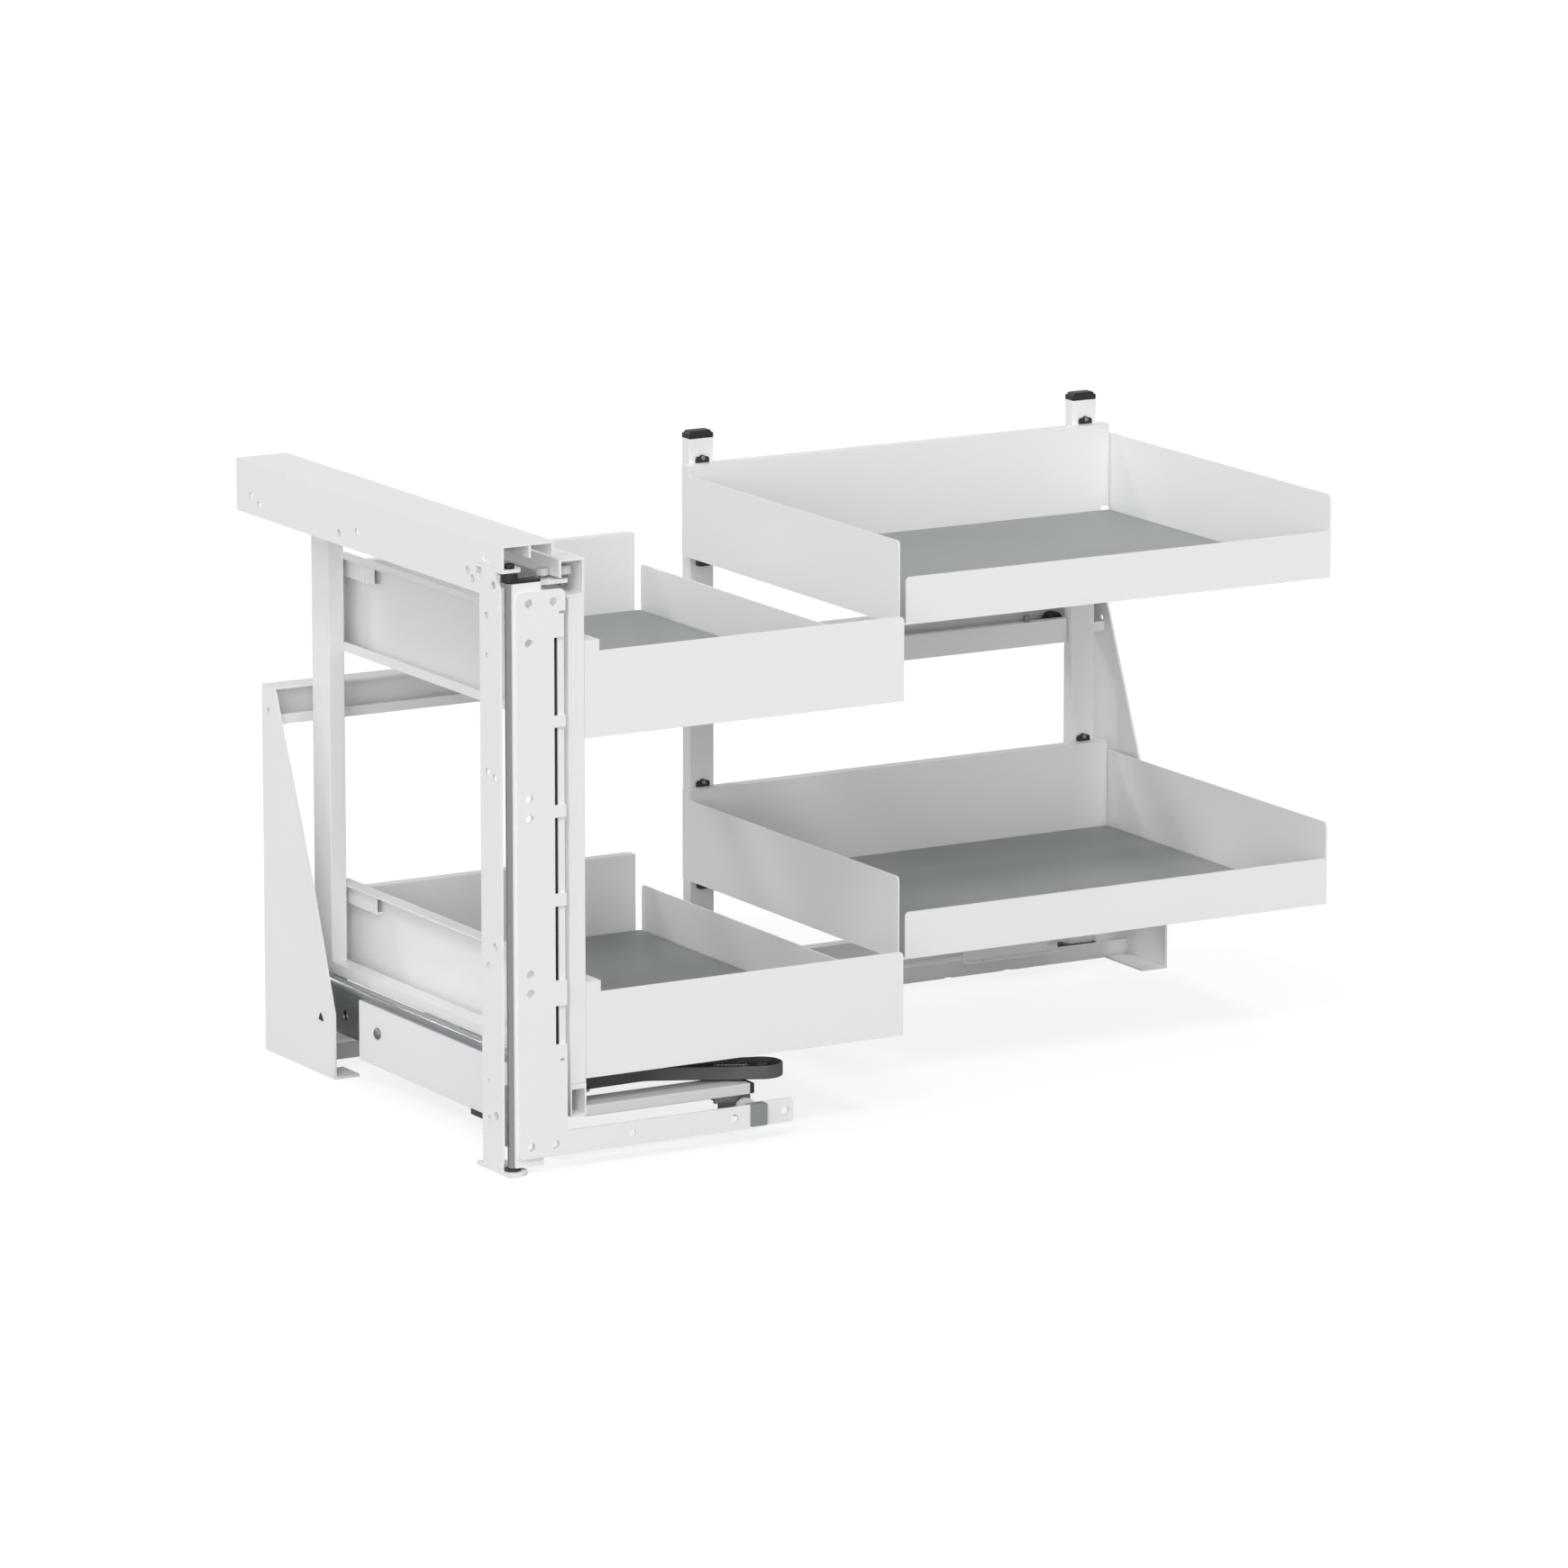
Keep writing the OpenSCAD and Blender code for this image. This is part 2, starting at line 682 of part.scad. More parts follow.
module door_plate() {
    window_x = door_x1 - 10.5;
    windows = [[104.9, 137], [158.1, 219.6], [230.1, 293], [303.4, 367.3], [377.1, 441.1]];
    slots = [[[door_x1 - 6.6, door_x1 - 2.4], [91, 93]], [[door_x1 - 5.8, door_x1 + cut], [460.5, 462.7]]];
    edge_set_in = [[door_x1 - 1.5, door_x1 + cut], [flange_z1 - 19.4, flange_z1 + 0.1]];
    color(white) {
        difference() {
            across_y(door_y0, door_t) rounded([door_x0, door_x1], [door_z0, door_z1], [5, 0, 5, 5]);
            for (w = windows) block([window_x, door_x1 + cut], [door_y0 - cut, plate_back + cut], w);
            for (s = slots) block(s[0], [door_y0 - cut, plate_back + cut], s[1]);
            block(edge_set_in[0], [door_y0 - cut, plate_back + cut], edge_set_in[1]);
            for (z = door_hole_rows()) rod_y(fix_d, door_hole_x(), [door_y0 - cut, plate_back + cut], z);
            for (z = [door_low_hole, door_top_hole])
                rod_y(fix_d, door_hole_x() + door_hole_pitch, [door_y0 - cut, plate_back + cut], z);
        }
        block([door_x1 - 0.5 - flange_t, door_x1 - 0.5], [plate_back, flange_y1], [flange_z0, flange_z1]);
        block([door_x1 - 0.5 - hem_w, door_x1 - 0.5], [plate_back, plate_back + flange_t],
            [flange_z0, flange_z1]);
    }
}

// Plan outline of the strip with its joggle
module strip_plan() {
    y0 = door_y0;
    y1 = door_y0 + joggle;
    bend_x0 = block_x0 + 0.6;
    bend_x1 = block_x1 - 0.6;
    polygon([
        [door_x1, y0], [bend_x0, y0], [bend_x1, y1], [strip_end_x, y1], [strip_end_x, y1 + door_t],
        [bend_x1 - 0.5, y1 + door_t], [bend_x0 - 0.5, y0 + door_t], [door_x1, y0 + door_t]
    ]);
}

module door_strip() {
    z = [strip_z0, strip_z0 + strip_h];
    hole_z = strip_z0 + 9.9;
    holes = [door_x1 + 60, block_x0 - 14.6, strip_end_x - 8];
    color(white) difference() {
        union() {
            flat(z[0], strip_h) strip_plan();
            block([carrier_x1 + 1, door_x1 + 16], [plate_back, plate_back + door_t], [z[0] + 2, z[1] - 2]);
        }
        for (x = holes) rod_y(fix_d, x, [door_y0 - cut, pivot_y + 5], hole_z);
        rod_y(fix_d, door_hole_x() + door_hole_pitch,
            [plate_back - cut, plate_back + door_t + cut], door_low_hole);
        for (end = [[z[0] - cut, z[0] + block_seat_z[0]], [z[1] + block_seat_z[1], z[1] + cut]])
            block([block_x0, block_x1], [door_y0 - cut, door_y0 + joggle + door_t + cut], end);
        for (i = [0, 1])
            across_y(door_y0 - cut, 12) translate([strip_end_x, z[i]]) rotate(90 * (i + 1)) corner_cut(3);
    }
}

module catch_block() color(block_grey) difference() {
    across_y(block_front, block_back - block_front)
        rounded([block_x0, block_x1], [strip_z0 + 1.4, strip_z0 + strip_h], [1, 1, 1, 1]);
    flat(strip_z0 + block_seat_z[0], strip_h + block_seat_z[1] - block_seat_z[0]) strip_plan();
}

// Front frame
module top_channel() {
    length = frame_l;
    x1 = frame_x1;
    color(white) difference() {
        across_y(frame_y0, length) {
            rect([channel_x0, x1], [channel_z1 - channel_t, channel_z1]);
            rect([channel_x0, channel_x0 + lip_t], [channel_z1 - lip_drop, channel_z1]);
            rect([x1 - channel_t, x1], [channel_z0, channel_z1]);
            rect([frame_x - 2.1, x1], [channel_z0, channel_z0 + 2.5]);
        }
        rod_z(8, x1 - 7.1, frame_y0 + 21, [channel_z1 - channel_t - cut, channel_z1 + cut]);
        rod_z(7, x1 - 7.5, frame_y0 + 12, [channel_z0 - cut, channel_z0 + 2.5 + cut]);
        rod_z(stud_d, frame_x + 4, frame_y1 - 13, [channel_z1 - channel_t - cut, channel_z1 + cut]);
    }
}

// Rectangular tube that stands along z or lies along y
module tube_z(x, y, z) difference() {
    block(x, y, z);
    block(x + [tube_wall, -tube_wall], y + [tube_wall, -tube_wall], z + [-cut, cut]);
}

module tube_y(x, y, z) difference() {
    block(x, y, z);
    block(x + [tube_wall, -tube_wall], y + [-cut, cut], z + [tube_wall, -tube_wall]);
}

module frame_posts() color(white) {
    for (y = [[frame_y0, frame_y0 + front_post_d], [frame_y1 - rear_post_d, frame_y1]])
        tube_z([frame_x, frame_x1], y, [post_z0, channel_z0]);
}

module frame_bottom_rail() color(white)
    tube_y([frame_x, frame_x1], [frame_y0 + front_post_d, frame_y1 - rear_post_d], [76.7, 87]);

module bottom_tube() color(white) difference() {
    union() {
        tube_y([frame_x, frame_x1], [frame_y0, frame_y1 - 15], [bottom_tube_z0, bottom_tube_z1]);
        block([frame_x, frame_x1], [frame_y0, frame_y1], [bottom_tube_z1, post_z0]);
        flat(arm_z[0] - 3.5, 3.2) arm_lug_outline();
    }
    rod_z(arm_pin_d - 2, arm_pivot[0], arm_pivot[1], [arm_z[0] - 5, arm_z[0]]);
}

module arm_lug_outline() {
    rect([frame_x1, arm_pivot[0]], span(arm_pivot[1], -12, 12));
    translate(arm_pivot) circle(r = 12);
}

module side_bar() color(shade_white)
    tube_x([frame_x1, bar_x1], [frame_y0, bar_y1], [bar_z0, bar_z1]);

module tube_x(x, y, z) difference() {
    block(x, y, z);
    block(x + [-cut, cut], y + [tube_wall, -tube_wall], z + [tube_wall, -tube_wall]);
}

module bar_end_cap() color(black) {
    block([bar_x1, bar_x1 + 4], [frame_y0 + 0.3, bar_y1 - 0.3], [bar_z0 + 0.2, bar_z1 - 0.2]);
    block([bar_x1 - 8, bar_x1], [frame_y0 + tube_wall, bar_y1 - tube_wall],
        [bar_z0 + tube_wall, bar_z1 - tube_wall]);
}

module wheel_bracket() {
    x0 = wheel_x - 30;
    clear_x = wheel_x - wheel_r - 1.5;
    tab_y = [wheel_y0 + wheel_w + 0.4, wheel_y0 + wheel_w + 3.4];
    color(zinc) difference() {
        union() {
            block([x0, clear_x], [frame_y0 + 1, bar_y1 - 1], [bar_z0 - 2.5, bar_z0]);
            block([x0, bar_x1], [tab_y[0], bar_y1 - 1], [bar_z0 - 2.5, bar_z0]);
            block([x0, clear_x], [frame_y0 + 1, frame_y0 + 3.5], [bar_z0 - 4.7, bar_z0]);
            across_y(tab_y[0], 3)
                rounded([wheel_x - 22.5, wheel_x + 7], [wheel_z - 7, bar_z0], [2, 4, 0, 0]);
        }
        rod_y(stud_d, wheel_x, [tab_y[0] - cut, tab_y[1] + cut], wheel_z);
    }
}

module wheel_axle() color(steel) {
    tab_y1 = wheel_y0 + wheel_w + 3.4;
    rod_y(stud_d, wheel_x, [wheel_y0 + 0.3, tab_y1], wheel_z);
    rod_y(stud_d + 3, wheel_x, [tab_y1, tab_y1 + 1.5], wheel_z);
}

module catch_wheel() color("#D0D0D0") difference() {
    rod_y(2 * wheel_r, wheel_x, [wheel_y0, wheel_y0 + wheel_w], wheel_z);
    rod_y(stud_d + 2 * run_gap, wheel_x, [wheel_y0 - cut, wheel_y0 + wheel_w + cut], wheel_z);
    ring_groove();
}

// Shallow groove round the wheel's tread
module ring_groove() difference() {
    rod_y(2 * wheel_r + cut, wheel_x, span(wheel_y0, 2.6, 3.9), wheel_z);
    rod_y(2 * wheel_r - 1.4, wheel_x, span(wheel_y0, 2, 4.5), wheel_z);
}

// Roller that runs in the beam's groove, on a plate over the channel's rear end
module roller_bracket() {
    at = beam_roller_at();
    z1 = channel_z1 + 3;
    color(zinc) {
        flat(channel_z1, 3) rounded([at[0] - 7, frame_x + 10], span(at[1], -9, 9), [4, 0, 0, 4]);
        rod_z(10, at[0], at[1], [z1, beam_roller_z()[0] - move_gap]);
        rod_z(stud_d, at[0], at[1], [z1, beam_roller_z()[1] - 0.5]);
        rod_z(stud_d - 0.2, frame_x + 4, at[1], [channel_z1 - channel_t, channel_z1]);
        rod_z(8, frame_x + 4, at[1], [z1, z1 + 2]);
    }
}

function beam_roller_at() = [beam_w - rib_t - beam_groove / 2, frame_y1 - 13];
function beam_roller_z() = [unit_h - rib_h + 1, unit_h - rib_t - 2];

module beam_roller() color(white) difference() {
    at = beam_roller_at();
    z = beam_roller_z();
    rod_z(beam_groove - 2 * move_gap, at[0], at[1], z);
    rod_z(stud_d + 2 * run_gap, at[0], at[1], z + [-cut, cut]);
}

module tray_hangers() color(white)
    for (z = [front_low_z, front_up_z]) tray_hanger(z + left_wall_h - tray_t);

// Channel under a tray's folded top, with a small tab cut free in its web and its end turned to the post
module tray_hanger(top) {
    x0 = front_wall_x - hanger_w;
    x1 = front_wall_x;
    back = frame_y1 - rear_post_d + 12;
    front = frame_y1 - hanger_l;
    z0 = top - hanger_h;
    difference() {
        union() {
            block([x0, x1], [front, back], [z0, z0 + tray_t]);
            block([x0, x0 + tray_t], [front, back], [z0, top]);
            block([frame_x1, x1], [back - tray_t, back], [z0, top]);
        }
        for (y = [front + 7, front + 15.5])
            block([x0 - cut, x0 + tray_t + cut], [y, y + 1], [z0 - cut, z0 + 7]);
    }
}

// Front trays: a left wall that stands back under a folded top, and a slot at the right end of the back wall
module front_tray(z) {
    x0 = front_tray_x0;
    x1 = front_tray_x1;
    y0 = frame_y0;
    y1 = front_tray_back;
    fold_x1 = front_wall_x + tray_t;
    union() {
        block([x0, x1], [y0, y1 + tray_t], [z, z + tray_t]);
        across_y(y0, tray_t) {
            rounded([x0, x1], [z, z + front_wall_h], [1, 1, 4, 0]);
            rounded([x0, fold_x1 - 0.1], [z, z + left_wall_h], [1, 0, 3, 0]);
        }
        across_x(x0, tray_t) rect([y0, y1 + tray_t], [z, z + left_lip_h]);
        across_x(front_wall_x, tray_t) rect([y0, y1 + tray_t], [z, z + left_wall_h]);
        block([x0, fold_x1], [y0 + tray_t, y1 + tray_t], span(z + left_wall_h, -tray_t, 0));
        block([x0, x1 - slot_gap], [y1, y1 + tray_t], [z, z + front_wall_h - 0.4]);
        flat(z + front_wall_h - 0.4 - tray_t, tray_t)
            rounded([x0, x1 - slot_gap], [y1, y1 + tray_flange], [0, 0, 3, 0]);
        across_x(x1 - tray_t, tray_t) rounded([y0, y1], [z, z + right_wall_h], [1, 1, 4, 0]);
    }
}

module front_tray_upper() color(white) front_tray(front_up_z);
module front_tray_lower() color(white) front_tray(front_low_z);

module front_mat(z) color(mat_grey) flat(z + tray_t, mat_t)
    rounded([front_wall_x + tray_t + 0.3, front_tray_x1 - tray_t - 0.8],
        [frame_y0 + tray_t + 0.3, front_tray_back - 0.3], [2, 2, 2, 2]);

module front_mat_upper() front_mat(front_up_z);
module front_mat_lower() front_mat(front_low_z);

// Link arm, a curved plastic lever under the lower front tray
module link_arm() {
    h = arm_z[1] - arm_z[0];
    color(arm_grey) difference() {
        flat(arm_z[0], h) arm_outline();
        rod_z(arm_pin_d + 2 * run_gap, arm_pivot[0], arm_pivot[1], arm_z + [-cut, cut]);
        rod_z(2 * arm_end_r - 8, arm_end[0], arm_end[1], [arm_z[1] - 4, arm_z[1] + cut]);
        flat(arm_z[1] - 5, 5 + cut) spring_slot();
    }
    color(arm_grey) rod_z(10, arm_end[0], arm_end[1], [arm_z[1] - 4.5, arm_z[1] - 1]);
}

// The arm's plan: round ends joined by two arcs that bow to the back
module arm_outline() {
    mid = [160, 58];
    mid_r = 11;
    web_inset = 0.4;
    translate(arm_pivot) circle(r = arm_pivot_r);
    translate(arm_end) circle(r = arm_end_r);
    link_web(arm_pivot, arm_pivot_r - web_inset, mid, mid_r - web_inset);
    link_web(mid, mid_r - web_inset, arm_end, arm_end_r - web_inset);
    translate(mid) circle(r = mid_r);
}

// The tangent quadrilateral between two circles
module link_web(a, ra, b, rb) {
    span = norm(b - a);
    turn = atan2(b[1] - a[1], b[0] - a[0]);
    lean = asin((ra - rb) / span);
    polygon([
        a + ra * [cos(turn + 90 - lean), sin(turn + 90 - lean)],
        b + rb * [cos(turn + 90 - lean), sin(turn + 90 - lean)],
        b + rb * [cos(turn - 90 + lean), sin(turn - 90 + lean)],
        a + ra * [cos(turn - 90 + lean), sin(turn - 90 + lean)]
    ]);
}

module spring_slot() {
    along = spring_to - spring_from;
    turn = atan2(along[1], along[0]);
    half = spring_r + spring_wire / 2 + 0.6;
    translate(spring_from) rotate(turn) rect([-1, norm(along) + 1], [-half, half]);
}

// Visible spring: one unbroken tube of eight rings a curl and six sides
function spring_point(i) =
    let (
        t = i / (spring_curls * 8),
        along = spring_to - spring_from,
        dir = along / norm(along),
        side = [-dir[1], dir[0]],
        angle = i * 45,
        centre = spring_from + along * t
    )
    [
        centre[0] + side[0] * spring_r * cos(angle),
        centre[1] + side[1] * spring_r * cos(angle),
        arm_z[1] - 5 + spring_r + spring_wire / 2 + 0.1 + spring_r * sin(angle)
    ];

function unit(v) = v / norm(v);

function ring(points, i) =
    let (
        last = len(points) - 1,
        along = unit(points[min(i + 1, last)] - points[max(i - 1, 0)]),
        axis = unit([spring_to[0] - spring_from[0], spring_to[1] - spring_from[1], 0]),
        u = unit(cross(along, axis)),
        v = cross(along, u)
    )
    [for (k = [0:5]) points[i] + spring_wire / 2 * (cos(60 * k) * u + sin(60 * k) * v)];

module arm_spring() {
    points = [for (i = [0:spring_curls * 8]) spring_point(i)];
    rings = [for (i = [0:len(points) - 1]) each ring(points, i)];
    last = len(points) - 1;
    sides = [
        for (i = [0:last - 1], k = [0:5])
            let (a = 6 * i + k, b = 6 * i + (k + 1) % 6)
            each [[a, b, a + 6], [b, b + 6, a + 6]]
    ];
    start = [for (k = [1:4]) [0, k + 1, k]];
    end = [for (k = [1:4]) [6 * last, 6 * last + k, 6 * last + k + 1]];
    apart = [
        for (i = [0:len(points) - 7], j = [i + 6:len(points) - 1])
            norm(points[i] - points[j])
    ];
    echo(spring_gap_to_itself = min(apart) - spring_wire);
    color(steel) polyhedron(points = rings, faces = concat(sides, start, end));
}

module arm_pivot_pin() color(zinc) {
    lug_z0 = arm_z[0] - 3.5;
    rod_z(arm_pin_d - 2, arm_pivot[0], arm_pivot[1], [lug_z0, arm_z[0]]);
    rod_z(arm_pin_d, arm_pivot[0], arm_pivot[1], [lug_z0 + 3.2, arm_z[1] + 0.4]);
    rod_z(arm_pin_d + 5, arm_pivot[0], arm_pivot[1], [arm_z[1] + 0.4, arm_z[1] + 2.4]);
}

// Rear carriage: posts, rails, rollers and shoes
module carriage_posts() color(shade_white) {
    for (x = [post_left_x, post_right_x])
        tube_z([x, x + post_w], [carriage_y0, carriage_y1], [shoe_top, post_top]);
}

module post_caps() color(black)
    for (x = [post_left_x, post_right_x]) {
        block([x, x + post_w], [carriage_y0, carriage_y1], [post_top, post_top + 4.4]);
        across_y(carriage_y0 + 1.5, post_d - 3)
            polygon([[x + 0.8, post_top + 4.4], [x + post_w - 0.8, post_top + 4.4],
                [x + post_w - 2.2, post_top + 6.6], [x + 2.2, post_top + 6.6]]);
    }

// The two rails between the posts: one that carries the rollers and one near the floor
module carriage_rails() color(shade_white) {
    roller_rail();
    tube_x([post_left_x + post_w, post_right_x], [carriage_y0, carriage_y1], [carriage_z0, lower_rail_z1]);
}

module roller_rail() difference() {
    flat(carriage_rail_z[0], carriage_rail_z[1] - carriage_rail_z[0])
        rounded([post_left_x + post_w, post_right_x], [carriage_rail_y0, carriage_y1], [0, 2.5, 0, 0]);
    block([post_left_x + post_w - cut, post_right_x - 3],
        [carriage_rail_y0 + tube_wall, carriage_y1 - tube_wall],
        carriage_rail_z + [tube_wall, -tube_wall]);
    for (x = rear_roller_x)
        if (x > post_left_x + post_w && x < post_right_x)
            rod_y(axle_d, x, [carriage_rail_y0 + tube_wall, carriage_y1 + cut], rear_roller_z);
}

module carriage_axles() color(zinc) {
    for (x = rear_roller_x) {
        rod_y(axle_d, x, [carriage_rail_y0 + tube_wall, rear_roller_y[1] + 1], rear_roller_z);
        rod_y(axle_d + 1, x, [carriage_y1, rear_roller_y[0] - move_gap], rear_roller_z);
        rod_y(axle_d + 4, x, span(rear_roller_y[1], move_gap, 1.6), rear_roller_z);
    }
    for (x = [post_left_x + post_w + 41, post_right_x - 41])
        rod_z(6, x, carriage_rail_y0 + 3.9, span(carriage_rail_z[1], 0, 5.5));
}

module carriage_roller(x) color(black) difference() {
    rod_y(roller_d, x, rear_roller_y, rear_roller_z);
    rod_y(axle_d + 2 * run_gap, x, rear_roller_y + [-cut, cut], rear_roller_z);
}

module carriage_roller_left() carriage_roller(rear_roller_x[0]);
module carriage_roller_right() carriage_roller(rear_roller_x[1]);

module carriage_shoes() color(black)
    for (x = [post_left_x, post_right_x])
        block([x - 4, x + post_w + 4], [carriage_y0 - 1, carriage_y1 + 1], [rail_t + move_gap, shoe_top]);

// Folded tab in front of the bottom rail, bent down from the carriage's lower rail
module catch_tab() {
    x = [rear_tray_x1 - tab_from_side - tab_w, rear_tray_x1 - tab_from_side];
    front = bottom_rail_y0 - 14;
    web = bottom_rail_y0 - 2 - tray_t;
    color(shade_white) difference() {
        union() {
            flat(13, tray_t) rounded(x, [front, web + tray_t], [5, 5, 0, 0]);
            block(x + [1, -9], [web, web + tray_t], [13, 24]);
            block(x + [1, -9], [web, carriage_y0], [24 - tray_t, 24]);
        }
        rod_z(4, x[0] + 17, front + 6, [12, 16]);
    }
}

// Rear trays: high side walls, a low front lip and a folded back
module rear_tray(z) {
    x0 = rear_tray_x0;
    x1 = rear_tray_x1;
    y0 = rear_tray_y0;
    y1 = rear_wall_y;
    top = z + rear_back_h;
    back_x1 = x1 - tray_t - back_gap;
    relief_z = z + tray_t + mat_t + 3.5;
    difference() {
        union() {
            block([x0, x1], [y0, y1 + tray_t], [z, z + tray_t]);
            across_y(y0, tray_t) rounded([x0 + lip_gap, x1], [z, z + front_lip_h], [0, 1, 4, 4]);
            for (x = [x0, x1 - tray_t])
                across_x(x, tray_t) rounded([y0, y1 + tray_t], [z, z + side_wall_h], [0, 0, 0, 4]);
            block([x0, back_x1], [y1, y1 + tray_t], [z, top]);
            block([x0, x0 + tray_t], [y1, carriage_y0], [z, top]);
            flat(top - tray_t, tray_t) rounded([x0, back_x1], [y1, carriage_y0], [0, 0, 5, 0]);
        }
        block([x0 + tray_t, x0 + lip_gap], [y0 - cut, y0 + tray_t], [z + tray_t, z + side_wall_h]);
        block([back_x1 - relief_w, back_x1 + cut / 2], [y1 - cut, y1 + tray_t + cut], [z + tray_t, relief_z]);
        rod_z(2.4, x0 + 9, y1 + 1.2, [top - 3, top + cut]);
    }
}

module rear_tray_upper() color(white) rear_tray(rear_up_z);
module rear_tray_lower() color(white) rear_tray(rear_low_z);

module rear_mat(z) color(mat_grey) flat(z + tray_t, mat_t)
    rounded([rear_tray_x0 + tray_t + 0.3, rear_tray_x1 - tray_t - 0.3],
        [rear_tray_y0 + tray_t + 0.3, rear_wall_y - 0.3], [2, 2, 2, 2]);

module rear_mat_upper() rear_mat(rear_up_z);
module rear_mat_lower() rear_mat(rear_low_z);

// Winged clips on the back flanges and blocks under the trays' backs
module tray_clips() color(black)
    for (x = [post_left_x, post_right_x], z = [rear_low_z, rear_up_z]) {
        tray_clip(x + post_w / 2, z + rear_back_h);
        block([x + 6, x + 16.5], [carriage_y0 - 7, carriage_y0], [z - 10, z - 0.3]);
    }

module tray_clip(x, z) difference() {
    across_y(carriage_y0 - 2.6, 2.6) {
        rounded([x - clip_w / 2, x + clip_w / 2], [z, z + 5.2], [0, 0, 2.2, 2.2]);
        translate([x, z + 4]) circle(r = 2.6);
    }
    rod_y(2.4, x, [carriage_y0 - 4, carriage_y0 + cut], z + 4);
}

module clip_screws() color(zinc)
    for (x = [post_left_x, post_right_x], z = [rear_low_z, rear_up_z]) {
        rod_y(4, x + post_w / 2, span(carriage_y0, -4, -2.6), z + rear_back_h + 4);
        rod_y(2.2, x + post_w / 2, span(carriage_y0, -2.7, 0), z + rear_back_h + 4);
    }

// Moves the origin from the cabinet's corner to the door's pivot axis
module placed() translate([-pivot_x, -pivot_y, 0]) children();

placed() side_beam();
placed() pivot_post();
placed() pivot_bolt();
placed() pivot_pin();
placed() pivot_bushes();
placed() guide_arm();
placed() guide_arm_bolts();
placed() side_plate();
placed() side_plate_rivet();
placed() bumper_pad();
placed() runner_outer();
placed() rear_bracket_left();
placed() rear_bracket_right();
placed() rear_top_rail();
placed() rear_bottom_rail();
placed() bracket_plug();
placed() guide_roller_outer();
placed() guide_roller_inner();
placed() pivot_tube();
placed() door_extrusion();
placed() extrusion_cap();
placed() door_plate();
placed() door_strip();
placed() catch_block();
placed() top_channel();
placed() frame_posts();
placed() frame_bottom_rail();
placed() bottom_tube();
placed() runner_inner();
placed() side_bar();
placed() bar_end_cap();
placed() wheel_bracket();
placed() wheel_axle();
placed() roller_bracket();
placed() tray_hangers();
placed() arm_pivot_pin();
placed() front_tray_upper();
placed() front_tray_lower();
placed() front_mat_upper();
placed() front_mat_lower();
placed() runner_middle();
placed() catch_wheel();
placed() beam_roller();
placed() link_arm();
placed() arm_spring();
placed() carriage_posts();
placed() post_caps();
placed() carriage_rails();
placed() carriage_axles();
placed() catch_tab();
placed() carriage_shoes();
placed() rear_tray_upper();
placed() rear_tray_lower();
placed() rear_mat_upper();
placed() rear_mat_lower();
placed() tray_clips();
placed() clip_screws();
placed() carriage_roller_left();
placed() carriage_roller_right();
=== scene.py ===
"""Looks for a blind corner pull-out: powder-coated sheet, drawn and plated steel, plastics and liners."""
import logging
import math
from collections.abc import Callable, Iterable, Sequence
from dataclasses import dataclass, field
from enum import Enum

import bmesh
import bpy
from mathutils import Matrix, Vector


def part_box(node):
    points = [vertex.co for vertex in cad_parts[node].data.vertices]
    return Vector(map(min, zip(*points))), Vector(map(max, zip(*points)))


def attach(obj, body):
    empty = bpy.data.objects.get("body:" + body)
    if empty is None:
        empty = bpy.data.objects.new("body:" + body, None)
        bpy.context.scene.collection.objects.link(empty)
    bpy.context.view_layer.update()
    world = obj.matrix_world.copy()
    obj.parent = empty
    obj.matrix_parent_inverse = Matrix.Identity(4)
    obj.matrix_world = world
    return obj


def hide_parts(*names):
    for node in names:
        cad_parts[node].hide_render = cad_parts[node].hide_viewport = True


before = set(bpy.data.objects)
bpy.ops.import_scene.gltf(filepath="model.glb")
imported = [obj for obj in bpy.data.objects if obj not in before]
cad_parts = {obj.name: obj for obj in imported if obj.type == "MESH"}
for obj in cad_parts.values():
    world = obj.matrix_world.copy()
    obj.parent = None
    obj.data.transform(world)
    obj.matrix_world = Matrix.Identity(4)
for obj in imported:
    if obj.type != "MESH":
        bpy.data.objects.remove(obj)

LOG = logging.getLogger("corner_pull_out")
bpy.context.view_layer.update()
MM = 0.001
PIVOT_MM = (9.5, 5.0)
CLOUDS_PER_M = 9.0
BUMP_STRENGTH = 0.6
LEAST_ROUGHNESS = 0.02
# A band texture makes one band in this length at a scale of 1.
BAND_LENGTH = 0.314
# Edges this close are one edge, and faces this nearly level are one face.
JOIN_M = 1e-6
LEVEL_DEG = 0.4
# Edges sharper than this are rounded.
EDGE_DEG = 38
Loop = list[Vector]


class Axis(Enum):
    """The direction that a drawn or rolled surface runs in."""

    X = 0
    Y = 1
    Z = 2


def at_mm(x: float, y: float, z: float) -> Vector:
    """Turns millimetres from the cabinet's side, the beam's front and the floor into the part's frame.

    Args:
        x: Distance from the cabinet's left side.
        y: Distance behind the beam's front end.
        z: Height above the floor.

    Returns:
        The point in metres, measured from the door's pivot axis.
    """
    return Vector(((x - PIVOT_MM[0]) * MM, (y - PIVOT_MM[1]) * MM, z * MM))


def linear(colour: str) -> tuple[float, float, float, float]:
    """Turns an sRGB hex colour into linear red, green, blue and alpha.

    Args:
        colour: Colour such as "#E4E6E5".

    Returns:
        The linear colour with an alpha of 1.
    """
    parts = [int(colour[i:i + 2], 16) / 255 for i in (1, 3, 5)]
    return (*(p / 12.92 if p <= 0.04045 else ((p + 0.055) / 1.055) ** 2.4 for p in parts), 1.0)


